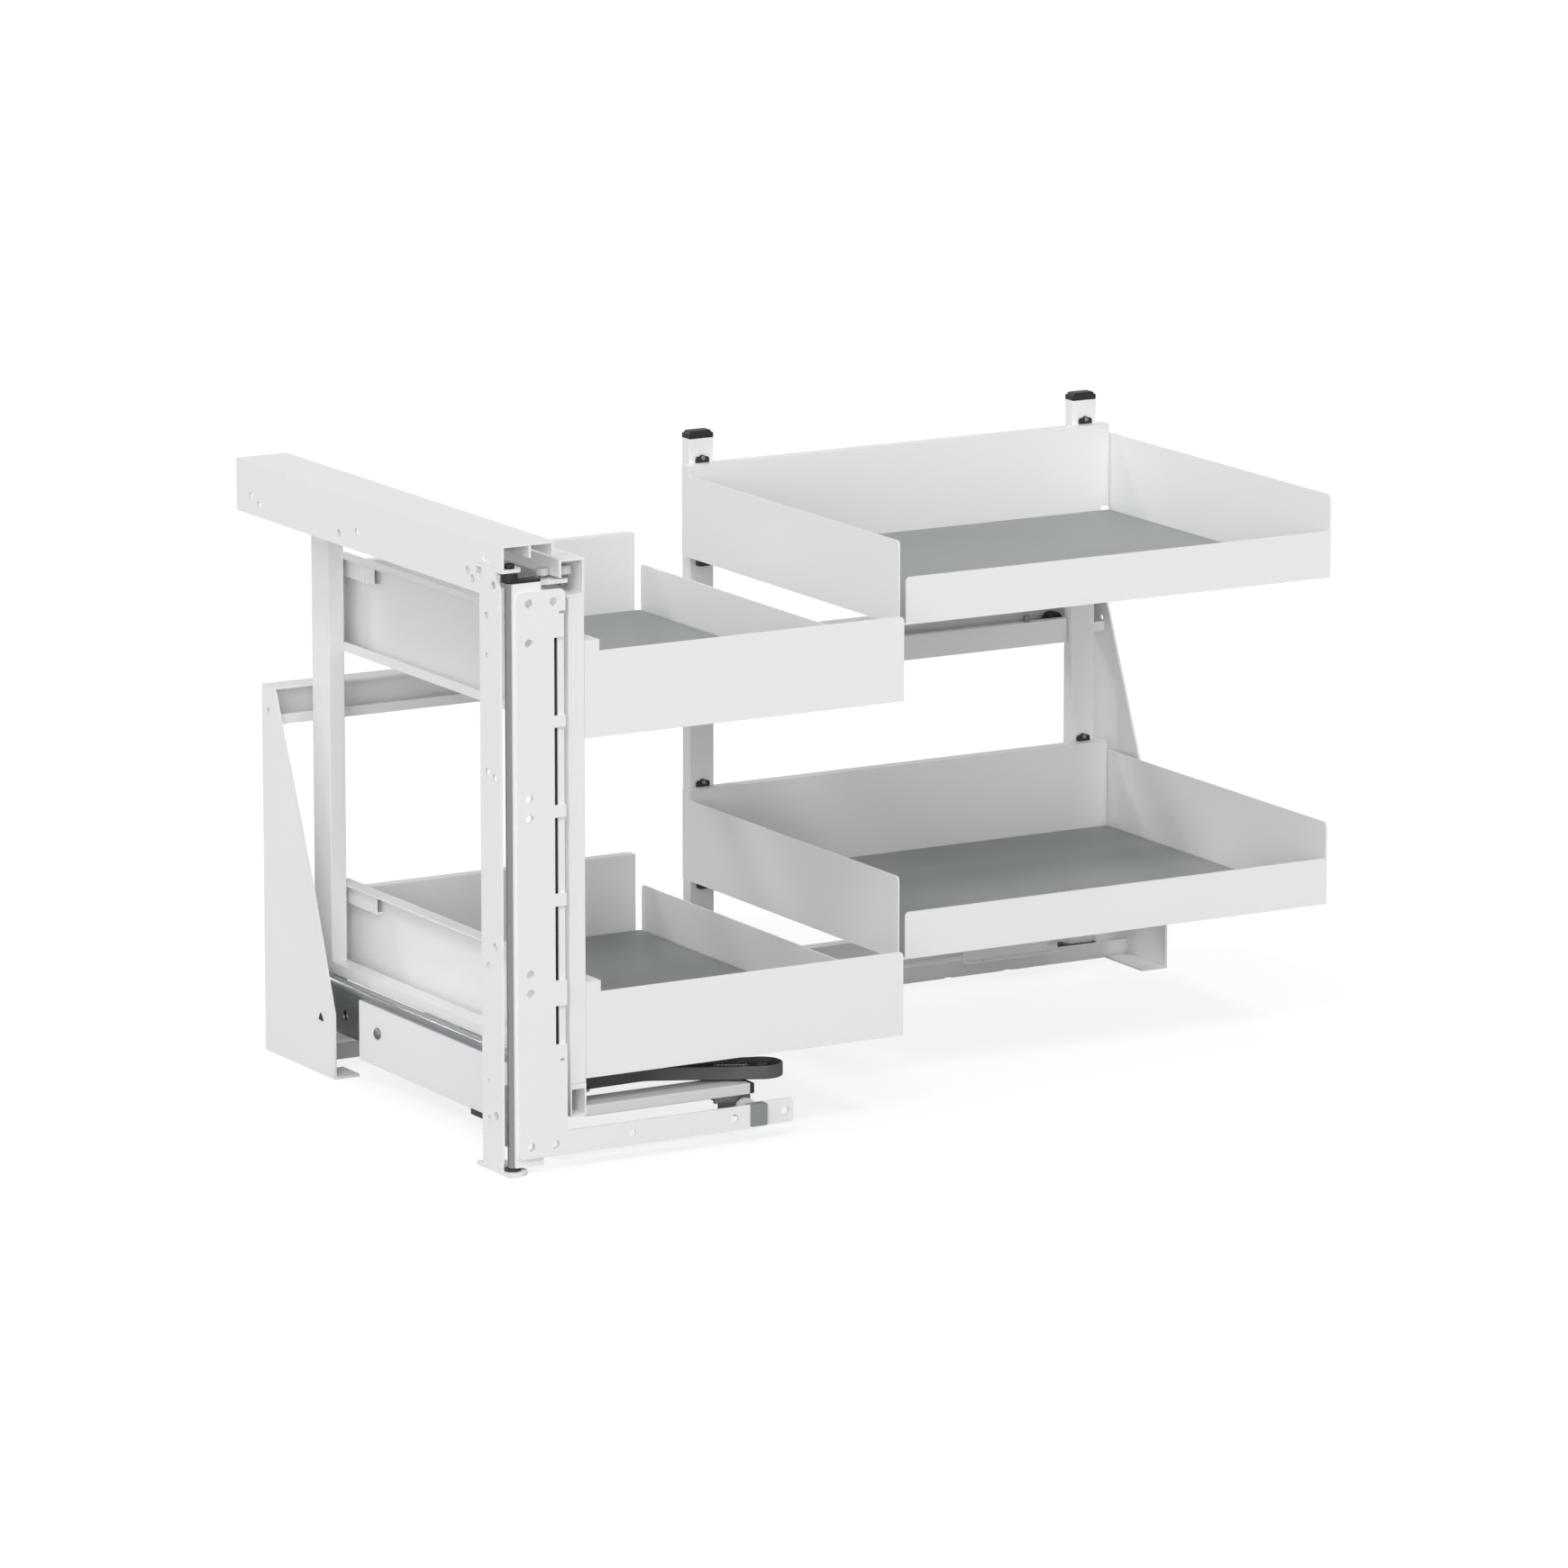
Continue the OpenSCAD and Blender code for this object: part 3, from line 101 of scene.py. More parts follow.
def add_node(
    tree: bpy.types.NodeTree,
    kind: str,
    settings: dict[str | int, object] | None = None,
    links: dict[str | int, bpy.types.NodeSocket] | None = None,
) -> bpy.types.Node:
    """Adds a node with its settings and its incoming links.

    Args:
        tree: Node tree that gets the node.
        kind: Blender's name for the node type.
        settings: Values by property name, or by socket name or number.
        links: Source sockets by the name or number of the input that they feed.

    Returns:
        The new node.
    """
    node = tree.nodes.new(kind)
    for key, value in (settings or {}).items():
        if isinstance(key, str) and hasattr(node, key):
            setattr(node, key, value)
        else:
            node.inputs[key].default_value = value
    for key, source in (links or {}).items():
        tree.links.new(source, node.inputs[key])
    return node


@dataclass(frozen=True)
class Finish:
    """One real material and the surface that its making leaves."""

    name: str
    colour: str
    shade: str
    roughness: float
    metallic: float = 0.0
    grain_mm: float = 2.0
    bump_mm: float = 0.01
    ior: float = 1.5
    gloss_spread: float = 0.04

    def material(self) -> bpy.types.Material:
        """Gives the finish's material, made on the first call."""
        found = bpy.data.materials.get(self.name)
        if found:
            return found
        made = bpy.data.materials.new(self.name)
        made.use_nodes = True
        tree = made.node_tree
        shader = tree.nodes["Principled BSDF"]
        shader.inputs["Metallic"].default_value = self.metallic
        if not self.metallic:
            shader.inputs["IOR"].default_value = self.ior
        made.diffuse_color = linear(self.colour)
        place = add_node(tree, "ShaderNodeTexCoord").outputs["Object"]
        self.texture(tree, shader, place)
        return made

    def texture(self, tree: bpy.types.NodeTree, shader: bpy.types.Node, place: bpy.types.NodeSocket) -> None:
        """Adds colour, gloss and relief at the finish's own grain.

        Args:
            tree: The material's node tree.
            shader: Its main shader.
            place: Object coordinates in metres.
        """
        grain = self.grain(tree, place)
        self.relief(tree, shader, grain)
        self.tone(tree, shader, self.clouds(tree, place))
        self.gloss(tree, shader, grain)

    def grain(self, tree: bpy.types.NodeTree, place: bpy.types.NodeSocket) -> bpy.types.NodeSocket:
        """Makes noise with one bump per grain width."""
        noise = add_node(tree, "ShaderNodeTexNoise", {"Scale": 1 / (self.grain_mm * MM), "Detail": 2.0},
                         {"Vector": place})
        return noise.outputs["Fac"]

    def clouds(self, tree: bpy.types.NodeTree, place: bpy.types.NodeSocket) -> bpy.types.NodeSocket:
        """Makes the slow drift of tone over about a hand's width."""
        settings = {"Scale": CLOUDS_PER_M, "Detail": 1.0}
        noise = add_node(tree, "ShaderNodeTexNoise", settings, {"Vector": place})
        return noise.outputs["Fac"]

    def relief(self, tree: bpy.types.NodeTree, shader: bpy.types.Node, height: bpy.types.NodeSocket) -> None:
        """Feeds a height into the shader's normal, with the finish's bump depth."""
        bump = add_node(tree, "ShaderNodeBump", {"Strength": BUMP_STRENGTH, "Distance": self.bump_mm * MM},
                        {"Height": height})
        tree.links.new(bump.outputs["Normal"], shader.inputs["Normal"])

    def tone(self, tree: bpy.types.NodeTree, shader: bpy.types.Node, factor: bpy.types.NodeSocket) -> None:
        """Mixes the colour and its shade by a factor into the base colour."""
        mix = add_node(
            tree, "ShaderNodeMix",
            {"data_type": "RGBA", 6: linear(self.colour), 7: linear(self.shade)}, {0: factor},
        )
        tree.links.new(mix.outputs[2], shader.inputs["Base Color"])

    def gloss(self, tree: bpy.types.NodeTree, shader: bpy.types.Node, factor: bpy.types.NodeSocket) -> None:
        """Varies the roughness on both sides of its value."""
        low = max(self.roughness - self.gloss_spread, LEAST_ROUGHNESS)
        high = self.roughness + self.gloss_spread
        span = add_node(tree, "ShaderNodeMapRange", {"To Min": low, "To Max": high}, {"Value": factor})
        tree.links.new(span.outputs["Result"], shader.inputs["Roughness"])


@dataclass(frozen=True)
class PowderCoat(Finish):
    """Polyester powder baked on folded sheet: a soft gloss over a faint orange peel."""


@dataclass(frozen=True)
class Metal(Finish):
    """Bare or plated metal, whose grain carries its tone, gloss and relief."""

    def texture(self, tree: bpy.types.NodeTree, shader: bpy.types.Node, place: bpy.types.NodeSocket) -> None:
        """Feeds the one grain into relief, tone and gloss."""
        grain = self.grain(tree, place)
        self.relief(tree, shader, grain)
        self.tone(tree, shader, grain)
        self.gloss(tree, shader, grain)


@dataclass(frozen=True)
class RolledMetal(Metal):
    """Metal drawn or rolled along one axis, which leaves long fine streaks."""

    gloss_spread: float = 0.08
    along: Axis = Axis.Z
    streak_mm: float = 90.0

    def grain(self, tree: bpy.types.NodeTree, place: bpy.types.NodeSocket) -> bpy.types.NodeSocket:
        """Stretches the noise along the metal's own axis."""
        scale = [1 / (self.grain_mm * MM)] * 3
        scale[self.along.value] = 1 / (self.streak_mm * MM)
        mapping = add_node(tree, "ShaderNodeMapping", {"Scale": scale}, {"Vector": place})
        noise = add_node(tree, "ShaderNodeTexNoise", {"Scale": 1.0, "Detail": 3.0},
                         {"Vector": mapping.outputs["Vector"]})
        return noise.outputs["Fac"]


@dataclass(frozen=True)
class PlatedMetal(Metal):
    """Zinc plate on stamped steel: small crystals that each catch the light a little apart."""

    gloss_spread: float = 0.1

    def grain(self, tree: bpy.types.NodeTree, place: bpy.types.NodeSocket) -> bpy.types.NodeSocket:
        """Makes flat cells as wide as the plating's crystals."""
        cells = add_node(tree, "ShaderNodeTexVoronoi", {"Scale": 1 / (self.grain_mm * MM)}, {"Vector": place})
        grey = add_node(tree, "ShaderNodeRGBToBW", links={"Color": cells.outputs["Color"]})
        return grey.outputs["Val"]


@dataclass(frozen=True)
class LinerFilm(Finish):
    """Grip film on a thin liner: a clear gloss over rows of faint ribs."""

    row_mm: float = 2.4

    def grain(self, tree: bpy.types.NodeTree, place: bpy.types.NodeSocket) -> bpy.types.NodeSocket:
        """Rolls faint ribs across the film, one every row width."""
        ribs = add_node(
            tree, "ShaderNodeTexWave",
            {"wave_type": "BANDS", "bands_direction": "DIAGONAL", "Scale": BAND_LENGTH / (self.row_mm * MM),
             "Distortion": 1.5, "Detail": 1.0},
            {"Vector": place},
        )
        return ribs.outputs["Fac"]


# The peel is near 1 mm on the real coat; it is drawn at 3 mm so that it shows at all.
WHITE_COAT = PowderCoat(
    "powder_coat_white_baked", "#F7F8F8", "#F4F5F5", 0.3, grain_mm=3.0, bump_mm=0.012,
)
# The side bar under the lower front tray has the white coat painted light grey: painted shade for the shadow
# of the tray above it.
SHADE_PAINTED_COAT = PowderCoat(
    "powder_coat_white_painted_shade", "#DCDEDE", "#D8DADA", 0.3, grain_mm=3.0, bump_mm=0.012,
)
# Bright drawn tube mirrors the white room in long streaks.
DRAWN_STEEL = RolledMetal(
    "steel_tube_bright_drawn", "#D6D8D9", "#B9BCBE", 0.14, 1.0, grain_mm=0.7, bump_mm=0.004, along=Axis.Z,
)
# Cold-rolled runner sections are plated after rolling, so the streaks stay but the mirror softens.
RUNNER_STEEL = RolledMetal(
    "steel_runner_cold_rolled", "#B9BCBE", "#989C9F", 0.3, 1.0, grain_mm=0.9, bump_mm=0.001, along=Axis.Y,
)
# Dull zinc on stampings and screws reads as mid grey with a fine sparkle.
DULL_ZINC = PlatedMetal(
    "steel_stamping_zinc_plated", "#A3A7A8", "#7F8485", 0.42, 1.0, grain_mm=1.1, bump_mm=0.003,
)
# Black oxide leaves the steel dark with a low sheen.
BLACK_OXIDE = Finish(
    "steel_bolt_black_oxide", "#232425", "#2E3031", 0.42, 0.35, grain_mm=0.8, bump_mm=0.005,
)
# Moulded nylon has a fine spark-eroded grain that scatters highlights.
BLACK_NYLON = Finish("nylon_black_moulded", "#222324", "#2B2C2D", 0.46, grain_mm=0.9, bump_mm=0.02)
# Glass fibres make the lever's nylon greyer and a little mottled.
FILLED_NYLON = Finish("nylon_glass_filled_grey", "#4A4C4D", "#5A5D5E", 0.5, grain_mm=1.2, bump_mm=0.02)
# The catch block is softer nylon, matt and even.
GREY_NYLON = Finish("nylon_grey_moulded", "#8A8F90", "#939899", 0.52, grain_mm=1.0, bump_mm=0.015)
# Acetal rollers are smooth and slightly waxy.
WHITE_ACETAL = Finish(
    "acetal_white_turned", "#D9DBDA", "#CFD1D1", 0.32, grain_mm=1.5, bump_mm=0.004, ior=1.48,
)
# The pad is plain rubber with a dry surface.
DARK_RUBBER = Finish("rubber_pad_moulded", "#3A3C3D", "#46494A", 0.7, grain_mm=1.0, bump_mm=0.03)
# Grip film is grey with a clear top that mirrors the tray's walls at a low angle.
GREY_FILM = LinerFilm("liner_grip_film_rolled", "#8D9292", "#929797", 0.35, bump_mm=0.003, ior=1.5)


def circle(radius: float, z: float, count: int = 48) -> Loop:
    """Makes a round loop about the Z axis, in millimetres."""
    return polar(lambda _: radius, z, count)


def polar(radius_at: Callable[[float], float], z: float, count: int = 48) -> Loop:
    """Makes a loop whose radius depends on the angle.

    Args:
        radius_at: Gives the radius in millimetres for an angle in radians.
        z: Height of the loop in millimetres.
        count: Number of points.

    Returns:
        The loop's points in metres.
    """
    turns = [2 * math.pi * i / count for i in range(count)]
    return [Vector((radius_at(t) * math.cos(t), radius_at(t) * math.sin(t), z)) * MM for t in turns]


def hexagon(across: float) -> Callable[[float], float]:
    """Gives the radius of a hexagon of this width across its flats."""
    def radius(turn: float) -> float:
        """Finds the radius at one angle."""
        return across / 2 / math.cos((turn % (math.pi / 3)) - math.pi / 6)
    return radius


def cross(reach: float, core: float, half_width: float) -> Callable[[float], float]:
    """Gives the radius of a cross recess with four arms.

    Args:
        reach: Radius at the arms, in millimetres.
        core: Radius between the arms.
        half_width: Half the angle that an arm takes, in radians.

    Returns:
        The radius for an angle.
    """
    def radius(turn: float) -> float:
        """Finds the radius at one angle."""
        off = abs((turn + math.pi / 4) % (math.pi / 2) - math.pi / 4)
        return reach if off < half_width else core
    return radius


def rounded_loop(low: Vector, high: Vector, inset: float, radius: float, z: float, steps: int = 6) -> Loop:
    """Makes a rectangle with rounded corners, drawn in metres.

    Args:
        low: Lowest corner of the box that the loop lies in.
        high: Highest corner of that box.
        inset: How far the loop stays inside the box.
        radius: Radius of the corners.
        z: Height of the loop.
        steps: Points at each corner.

    Returns:
        The loop's points.
    """
    made: Loop = []
    signs = ((1, 1), (-1, 1), (-1, -1), (1, -1))
    for i, (sx, sy) in enumerate(signs):
        cx = (high.x - inset - radius) if sx > 0 else (low.x + inset + radius)
        cy = (high.y - inset - radius) if sy > 0 else (low.y + inset + radius)
        for k in range(steps):
            turn = math.pi / 2 * (i + k / (steps - 1))
            made.append(Vector((cx + radius * math.cos(turn), cy + radius * math.sin(turn), z)))
    return made


def loft(name: str, loops: Sequence[Loop], finish: Finish) -> bpy.types.Object:
    """Skins a closed shape through loops of equal length.

    Args:
        name: Name of the new piece.
        loops: Loops from one end to the other.
        finish: Finish of the piece.

    Returns:
        The new object.
    """
    return closed_mesh(name, [loops], finish, [Matrix.Identity(4)])


def closed_mesh(name: str, shapes: Sequence[Sequence[Loop]], finish: Finish,
                places: Sequence[Matrix]) -> bpy.types.Object:
    """Skins several lofted shapes into one mesh, each with both ends closed."""
    build = bmesh.new()
    for loops, place in zip(shapes, places):
        rings = [[build.verts.new(place @ point) for point in loop] for loop in loops]
        for low, high in zip(rings, rings[1:]):
            for i in range(len(low)):
                j = (i + 1) % len(low)
                build.faces.new((low[i], low[j], high[j], high[i]))
        build.faces.new(list(reversed(rings[0])))
        build.faces.new(rings[-1])
    bmesh.ops.recalc_face_normals(build, faces=build.faces)
    mesh = bpy.data.meshes.new(name)
    build.to_mesh(mesh)
    build.free()
    mesh.shade_smooth()
    made = bpy.data.objects.new(name, mesh)
    bpy.context.scene.collection.objects.link(made)
    made.data.materials.append(finish.material())
    return made


def soften(piece: bpy.types.Object, width_mm: float, welded: bool = False) -> None:
    """Rounds a piece's sharp edges and evens out its shading.

    Args:
        piece: Object that gets the modifiers.
        width_mm: Width of the rounding.
        welded: Whether the mesh needs its split edges joined and its flats cleaned first.
    """
    if welded:
        piece.modifiers.new("join_edges", "WELD").merge_threshold = JOIN_M
        flats = piece.modifiers.new("clean_flats", "DECIMATE")
        flats.decimate_type = "DISSOLVE"
        flats.angle_limit = math.radians(LEVEL_DEG)
    bevel = piece.modifiers.new("round_edges", "BEVEL")
    bevel.width = width_mm * MM
    bevel.segments = 2
    bevel.limit_method = "ANGLE"
    bevel.angle_limit = math.radians(EDGE_DEG)
    bevel.use_clamp_overlap = True
    even = piece.modifiers.new("even_shading", "WEIGHTED_NORMAL")
    even.keep_sharp = False


@dataclass
class SubAssembly:
    """A group of pieces on one body, with the finish of each."""

    body: str
    finishes: dict[str, Finish] = field(default_factory=dict)
    edge_mm: float = 0.3
    wide_edges: dict[str, float] = field(default_factory=dict)

    def dress(self) -> None:
        """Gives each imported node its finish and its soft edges."""
        for name, finish in self.finishes.items():
            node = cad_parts[name]
            node.data.materials.clear()
            node.data.materials.append(finish.material())
            soften(node, self.wide_edges.get(name, self.edge_mm), welded=True)
            LOG.info("%s: %s", name, finish.name)

    def build(self) -> None:
        """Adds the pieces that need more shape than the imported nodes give."""

    def fit(self, piece: bpy.types.Object, slot: str, *nodes: str) -> None:
        """Puts a new piece on the body in place of some nodes.

        Args:
            piece: The new piece.
            slot: The record's material slot that it follows; not used.
            nodes: Nodes that it stands for.
        """
        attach(piece, self.body)
        if nodes:
            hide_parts(*nodes)
        LOG.info("%s: stands for %s", piece.name, ", ".join(nodes) or "itself")

    def run(self) -> None:
        """Dresses the nodes and adds the pieces."""
        self.dress()
        self.build()


@dataclass
class CabinetFrame(SubAssembly):
    """Beam, pivot post, guide arm, side plate and the fixed runner member."""

    head_mm: tuple[float, float] = (8.5, 4.0)
    shank_mm: float = 6.0
    seat_z_mm: float = 500.0
    tip_z_mm: float = 476.0
    socket_mm: tuple[float, float] = (3.6, 4.0)
    socket_depth_mm: float = 2.5
    ridges: int = 24
    ridge_mm: float = 0.12
    top_chamfer_mm: tuple[float, float] = (0.6, 0.4)
    seat_chamfer_mm: tuple[float, float] = (0.4, 0.3)

    def build(self) -> None:
        """Turns the socket bolt with its knurled head."""
        radius, height = self.head_mm[0] / 2, self.head_mm[1]
        seat, top = self.seat_z_mm, self.seat_z_mm + height
        count = self.ridges * 4
        shank = self.shank_mm / 2

        def knurl(turn: float) -> float:
            """Waves the head's rim, one ridge after another."""
            return radius - self.ridge_mm + self.ridge_mm * math.cos(self.ridges * turn)

        loops = [
            polar(hexagon(self.socket_mm[0]), top - self.socket_depth_mm, count),
            polar(hexagon(self.socket_mm[1]), top, count),
            circle(radius - self.top_chamfer_mm[0], top, count),
            polar(knurl, top - self.top_chamfer_mm[1], count),
            polar(knurl, seat + self.seat_chamfer_mm[1], count),
            circle(radius - self.seat_chamfer_mm[0], seat, count),
            circle(shank, seat, count),
            circle(shank, self.tip_z_mm, count),
        ]
        bolt = loft("socket_bolt", loops, BLACK_OXIDE)
        self.fit(bolt, "black_steel", "pivot_bolt")


@dataclass
class DoorCarrier(SubAssembly):
    """Tube, extrusion, plate and strip that turn with the door."""

    # A dark rubber strip behind the door plate's windows stands in for the shadow seen through them: painted
    # shade.
    shade_strip_x_mm: tuple[float, float] = (44.0, 54.0)
    shade_strip_y_mm: tuple[float, float] = (2.0, 4.0)
    shade_strip_z_mm: tuple[float, float] = (94.0, 459.0)
    shade_strip_corner_mm: float = 0.6

    def build(self) -> None:
        """Adds a dark rubber strip behind the windows of the door plate, as painted shade for the shadow seen
        through them.
        """
        (x0, x1), (y0, y1), (z0, z1) = self.shade_strip_x_mm, self.shade_strip_y_mm, self.shade_strip_z_mm
        low, high = at_mm(x0, y0, z0), at_mm(x1, y1, z1)
        loops = [rounded_loop(low, high, 0, self.shade_strip_corner_mm * MM, z) for z in (low.z, high.z)]
        self.fit(loft("painted_shade_strip", loops, DARK_RUBBER), "arm_plastic")


@dataclass
class Liners(SubAssembly):
    """The grip liners in one carriage's trays."""

    nodes: tuple[str, ...] = ()
    corner_mm: float = 2.0
    edge_roll_mm: float = 0.6

    def build(self) -> None:
        """Makes each liner with a rolled edge round its top."""
        for name in self.nodes:
            low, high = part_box(name)
            roll = self.edge_roll_mm * MM
            corner = self.corner_mm * MM
            turns = [math.radians(a) for a in (0, 30, 60, 90)]
            rim = [
                rounded_loop(low, high, roll * (1 - math.cos(t)), corner, high.z - roll * (1 - math.sin(t)))
                for t in turns
            ]
            loops = [rounded_loop(low, high, 0, corner, low.z), *rim,
                     rounded_loop(low, high, 3 * roll, corner, high.z)]
            liner = loft(name.replace("mat", "liner"), loops, GREY_FILM)
            self.fit(liner, "grey_mat", name)


@dataclass
class LinkArm(SubAssembly):
    """The curved lever under the lower front tray, with its return spring."""

    circles_mm: tuple[tuple[float, float, float], ...] = (
        (98, 60, 15), (160, 58, 11), (251, 20, 18),
    )
    z_mm: tuple[float, float] = (50.5, 61.5)
    rim_mm: float = 2.6
    round_mm: float = 0.6
    lip_mm: float = 0.3
    floor_mm: float = 4.0
    seam_mm: float = 0.5
    pin_boss_mm: tuple[float, float] = (9.0, 4.1)
    end_boss_mm: tuple[float, float] = (5.0, 2.2)
    end_boss_drop_mm: float = 1.0
    boss_chamfer_mm: float = 0.4
    bore_foot_mm: float = 0.1
    rib_shares: tuple[float, ...] = (0.2, 0.34, 0.48, 0.6)
    rib_half_mm: float = 0.9
    rib_into_rim_mm: float = 0.2
    spring_from_mm: tuple[float, float] = (216, 37)
    spring_to_mm: tuple[float, float] = (240, 23.5)
    spring_r_mm: float = 2.0
    spring_bed_mm: float = 5.0
    spring_gap_mm: float = 0.1
    wire_mm: float = 0.9
    curls: int = 14
    points_per_curl: int = 20
    smoothings: int = 30

    def spine(self, count: int = 40) -> list[tuple[float, float, float]]:
        """Samples centre and half width along the lever, smoothed where its parts meet."""
        marks = [Vector(c) for c in self.circles_mm]
        parts = []
        for a, b in zip(marks, marks[1:]):
            parts += [a.lerp(b, i / count) for i in range(count)]
        parts.append(marks[-1])
        for _ in range(self.smoothings):
            inner = [(p + q * 2 + r) / 4 for p, q, r in zip(parts, parts[1:], parts[2:])]
            parts = [parts[0], *inner, parts[-1]]
        return [tuple(p) for p in parts]

    def outline(self, inset: float, z: float, cap: int = 14) -> Loop:
        """Walks round the lever at a distance inside its edge.

        Args:
            inset: Distance inside the edge in millimetres.
            z: Height in millimetres.
            cap: Points round each end.

        Returns:
            The loop in metres.
        """
        spine = self.spine()
        left, right = [], []
        headings = []
        for i, (x, y, r) in enumerate(spine):
            a, b = spine[max(i - 1, 0)], spine[min(i + 1, len(spine) - 1)]
            heading = math.atan2(b[1] - a[1], b[0] - a[0])
            headings.append(heading)
            side = Vector((-math.sin(heading), math.cos(heading)))
            left.append(Vector((x, y)) + side * (r - inset))
            right.append(Vector((x, y)) - side * (r - inset))
        ends = []
        for index, start in ((len(spine) - 1, -math.pi / 2), (0, math.pi / 2)):
            x, y, r = spine[index]
            turns = [headings[index] + start + math.pi * k / cap for k in range(1, cap)]
            ends.append([Vector((x, y)) + Vector((math.cos(t), math.sin(t))) * (r - inset) for t in turns])
        flat = right + ends[0] + list(reversed(left)) + ends[1]
        return [at_mm(p.x, p.y, z) for p in flat]

    def lever(self) -> bpy.types.Object:
        """Makes the lever as a rimmed channel, with a boss at its pin and a ring at its end."""
        low, high = self.z_mm
        rim, soft, lip = self.rim_mm, self.round_mm, self.lip_mm
        profile = (
            (soft, low), (0, low + soft), (0, high - soft), (soft, high),
            (rim - lip, high), (rim, high - lip), (rim + lip, high - self.floor_mm),
        )
        shapes: list[Sequence[Loop]] = [[self.outline(inset, z) for inset, z in profile]]
        places = [Matrix.Identity(4)]
        ends = (
            (self.circles_mm[0], self.pin_boss_mm, high),
            (self.circles_mm[-1], self.end_boss_mm, high - self.end_boss_drop_mm),
        )
        for (x, y, _), (outer, inner), top in ends:
            shapes.append(self.boss(outer, inner, top))
            places.append(Matrix.Translation(at_mm(x, y, 0)))
        for rib in self.ribs():
            shapes.append(rib)
            places.append(Matrix.Identity(4))
        return closed_mesh("link_lever", shapes, FILLED_NYLON, places)

    def boss(self, outer: float, inner: float, top: float) -> list[Loop]:
        """Makes a ring that stands on the lever's floor.

        Args:
            outer: Its outside radius in millimetres.
            inner: Its bore's radius.
            top: Height of its top, whose edges are broken.

        Returns:
            The ring's loops, from its foot over the top and down the bore.
        """
        base, lip, crest = self.z_mm[1] - self.floor_mm - self.seam_mm, self.lip_mm, self.boss_chamfer_mm
        outside = [circle(outer, base), circle(outer, top - crest), circle(outer - crest, top)]
        inside = [circle(inner + lip, top), circle(inner, top - lip), circle(inner, base + self.bore_foot_mm)]
        return [circle(inner, base), *outside, *inside]

    def ribs(self) -> Iterable[Sequence[Loop]]:
        """Makes the stiffening ribs that cross the lever's channel."""
        high = self.z_mm[1]
        spine = self.spine()
        for share in self.rib_shares:
            i = round(share * (len(spine) - 1))
            x, y, r = spine[i]
            ahead = spine[i + 1]
            heading = Vector((ahead[0] - x, ahead[1] - y)).normalized()
            side = Vector((-heading.y, heading.x)) * (r - self.rim_mm + self.rib_into_rim_mm)
            thick = heading * self.rib_half_mm
            corners = [side + thick, thick - side, -side - thick, side - thick]
            yield [
                [at_mm(x + c.x, y + c.y, z) for c in corners]
                for z in (high - self.floor_mm - self.seam_mm, high - self.rib_half_mm)
            ]

    def spring(self) -> bpy.types.Object:
        """Winds the return spring as one wire."""
        start, end = Vector(self.spring_from_mm), Vector(self.spring_to_mm)
        run = end - start
        heading = run.normalized()
        side = Vector((-heading.y, heading.x))
        height = self.z_mm[1] - self.spring_bed_mm + self.spring_r_mm + self.wire_mm / 2 + self.spring_gap_mm
        count = self.curls * self.points_per_curl
        points = []
        for i in range(count + 1):
            turn = 2 * math.pi * i / self.points_per_curl
            flat = start + run * (i / count) + side * self.spring_r_mm * math.cos(turn)
            points.append(at_mm(flat.x, flat.y, height + self.spring_r_mm * math.sin(turn)))
        return wire("lever_spring", points, self.wire_mm / 2, DRAWN_STEEL)

    def build(self) -> None:
        """Adds the lever and its spring."""
        lever = self.lever()
        soften(lever, 0.25)
        self.fit(lever, "arm_plastic", "link_arm")
        self.fit(self.spring(), "bright_steel", "arm_spring")


def wire(
    name: str, points: Sequence[Vector], radius_mm: float, finish: Finish, sides: int = 8,
) -> bpy.types.Object:
    """Sweeps a round wire along a path.

    Args:
        name: Name of the new piece.
        points: The path in metres.
        radius_mm: Radius of the wire.
        finish: Finish of the wire.
        sides: Points round the wire.

    Returns:
        The new object.
    """
    loops: list[Loop] = []
    last = len(points) - 1
    across = (points[1] - points[0]).normalized().cross(Vector((0, 0, 1))).normalized()
    for i, point in enumerate(points):
        along = (points[min(i + 1, last)] - points[max(i - 1, 0)]).normalized()
        across = (across - along * across.dot(along)).normalized()
        lift = along.cross(across)
        turns = [2 * math.pi * k / sides for k in range(sides)]
        loops.append([point + (across * math.cos(t) + lift * math.sin(t)) * radius_mm * MM for t in turns])
    return loft(name, loops, finish)


@dataclass
class RearCarriage(SubAssembly):
    """Posts, rails and trays of the carriage behind the blind side."""

    screw_x_mm: tuple[float, float] = (441.85, 830.25)
    screw_z_mm: tuple[float, float] = (197.3, 482.7)
    screw_y_mm: tuple[float, float] = (449.2, 453.2)
    recess_foot: tuple[float, float, float] = (0.9, 0.3, 0.35)
    recess_top: tuple[float, float, float] = (1.2, 0.35, 0.3)
    recess_depth_mm: float = 0.7
    crown_mm: tuple[tuple[float, float], ...] = ((1.45, -0.02), (1.85, -0.35), (2.0, -0.7))
    head_h_mm: float = 1.4
    shank_r_mm: float = 1.1

    def build(self) -> None:
        """Makes the pan-head screws that hold the tray clips, with a cross recess each."""
        reach = self.screw_y_mm[1] - self.screw_y_mm[0]
        head_r, shank_r = self.crown_mm[-1][0], self.shank_r_mm
        recess = [
            polar(cross(*self.recess_foot), -self.recess_depth_mm), polar(cross(*self.recess_top), 0.0),
        ]
        outside = (*self.crown_mm, (head_r, -self.head_h_mm), (shank_r, -self.head_h_mm), (shank_r, -reach))
        loops = recess + [circle(radius, depth) for radius, depth in outside]
        turned = Matrix.Rotation(math.pi / 2, 4, "X")
        places = [
            Matrix.Translation(at_mm(x, self.screw_y_mm[0], z)) @ turned
            for x in self.screw_x_mm for z in self.screw_z_mm
        ]
        screws = closed_mesh("pan_head_screws", [loops] * len(places), DULL_ZINC, places)
        self.fit(screws, "zinc_steel", "clip_screws")


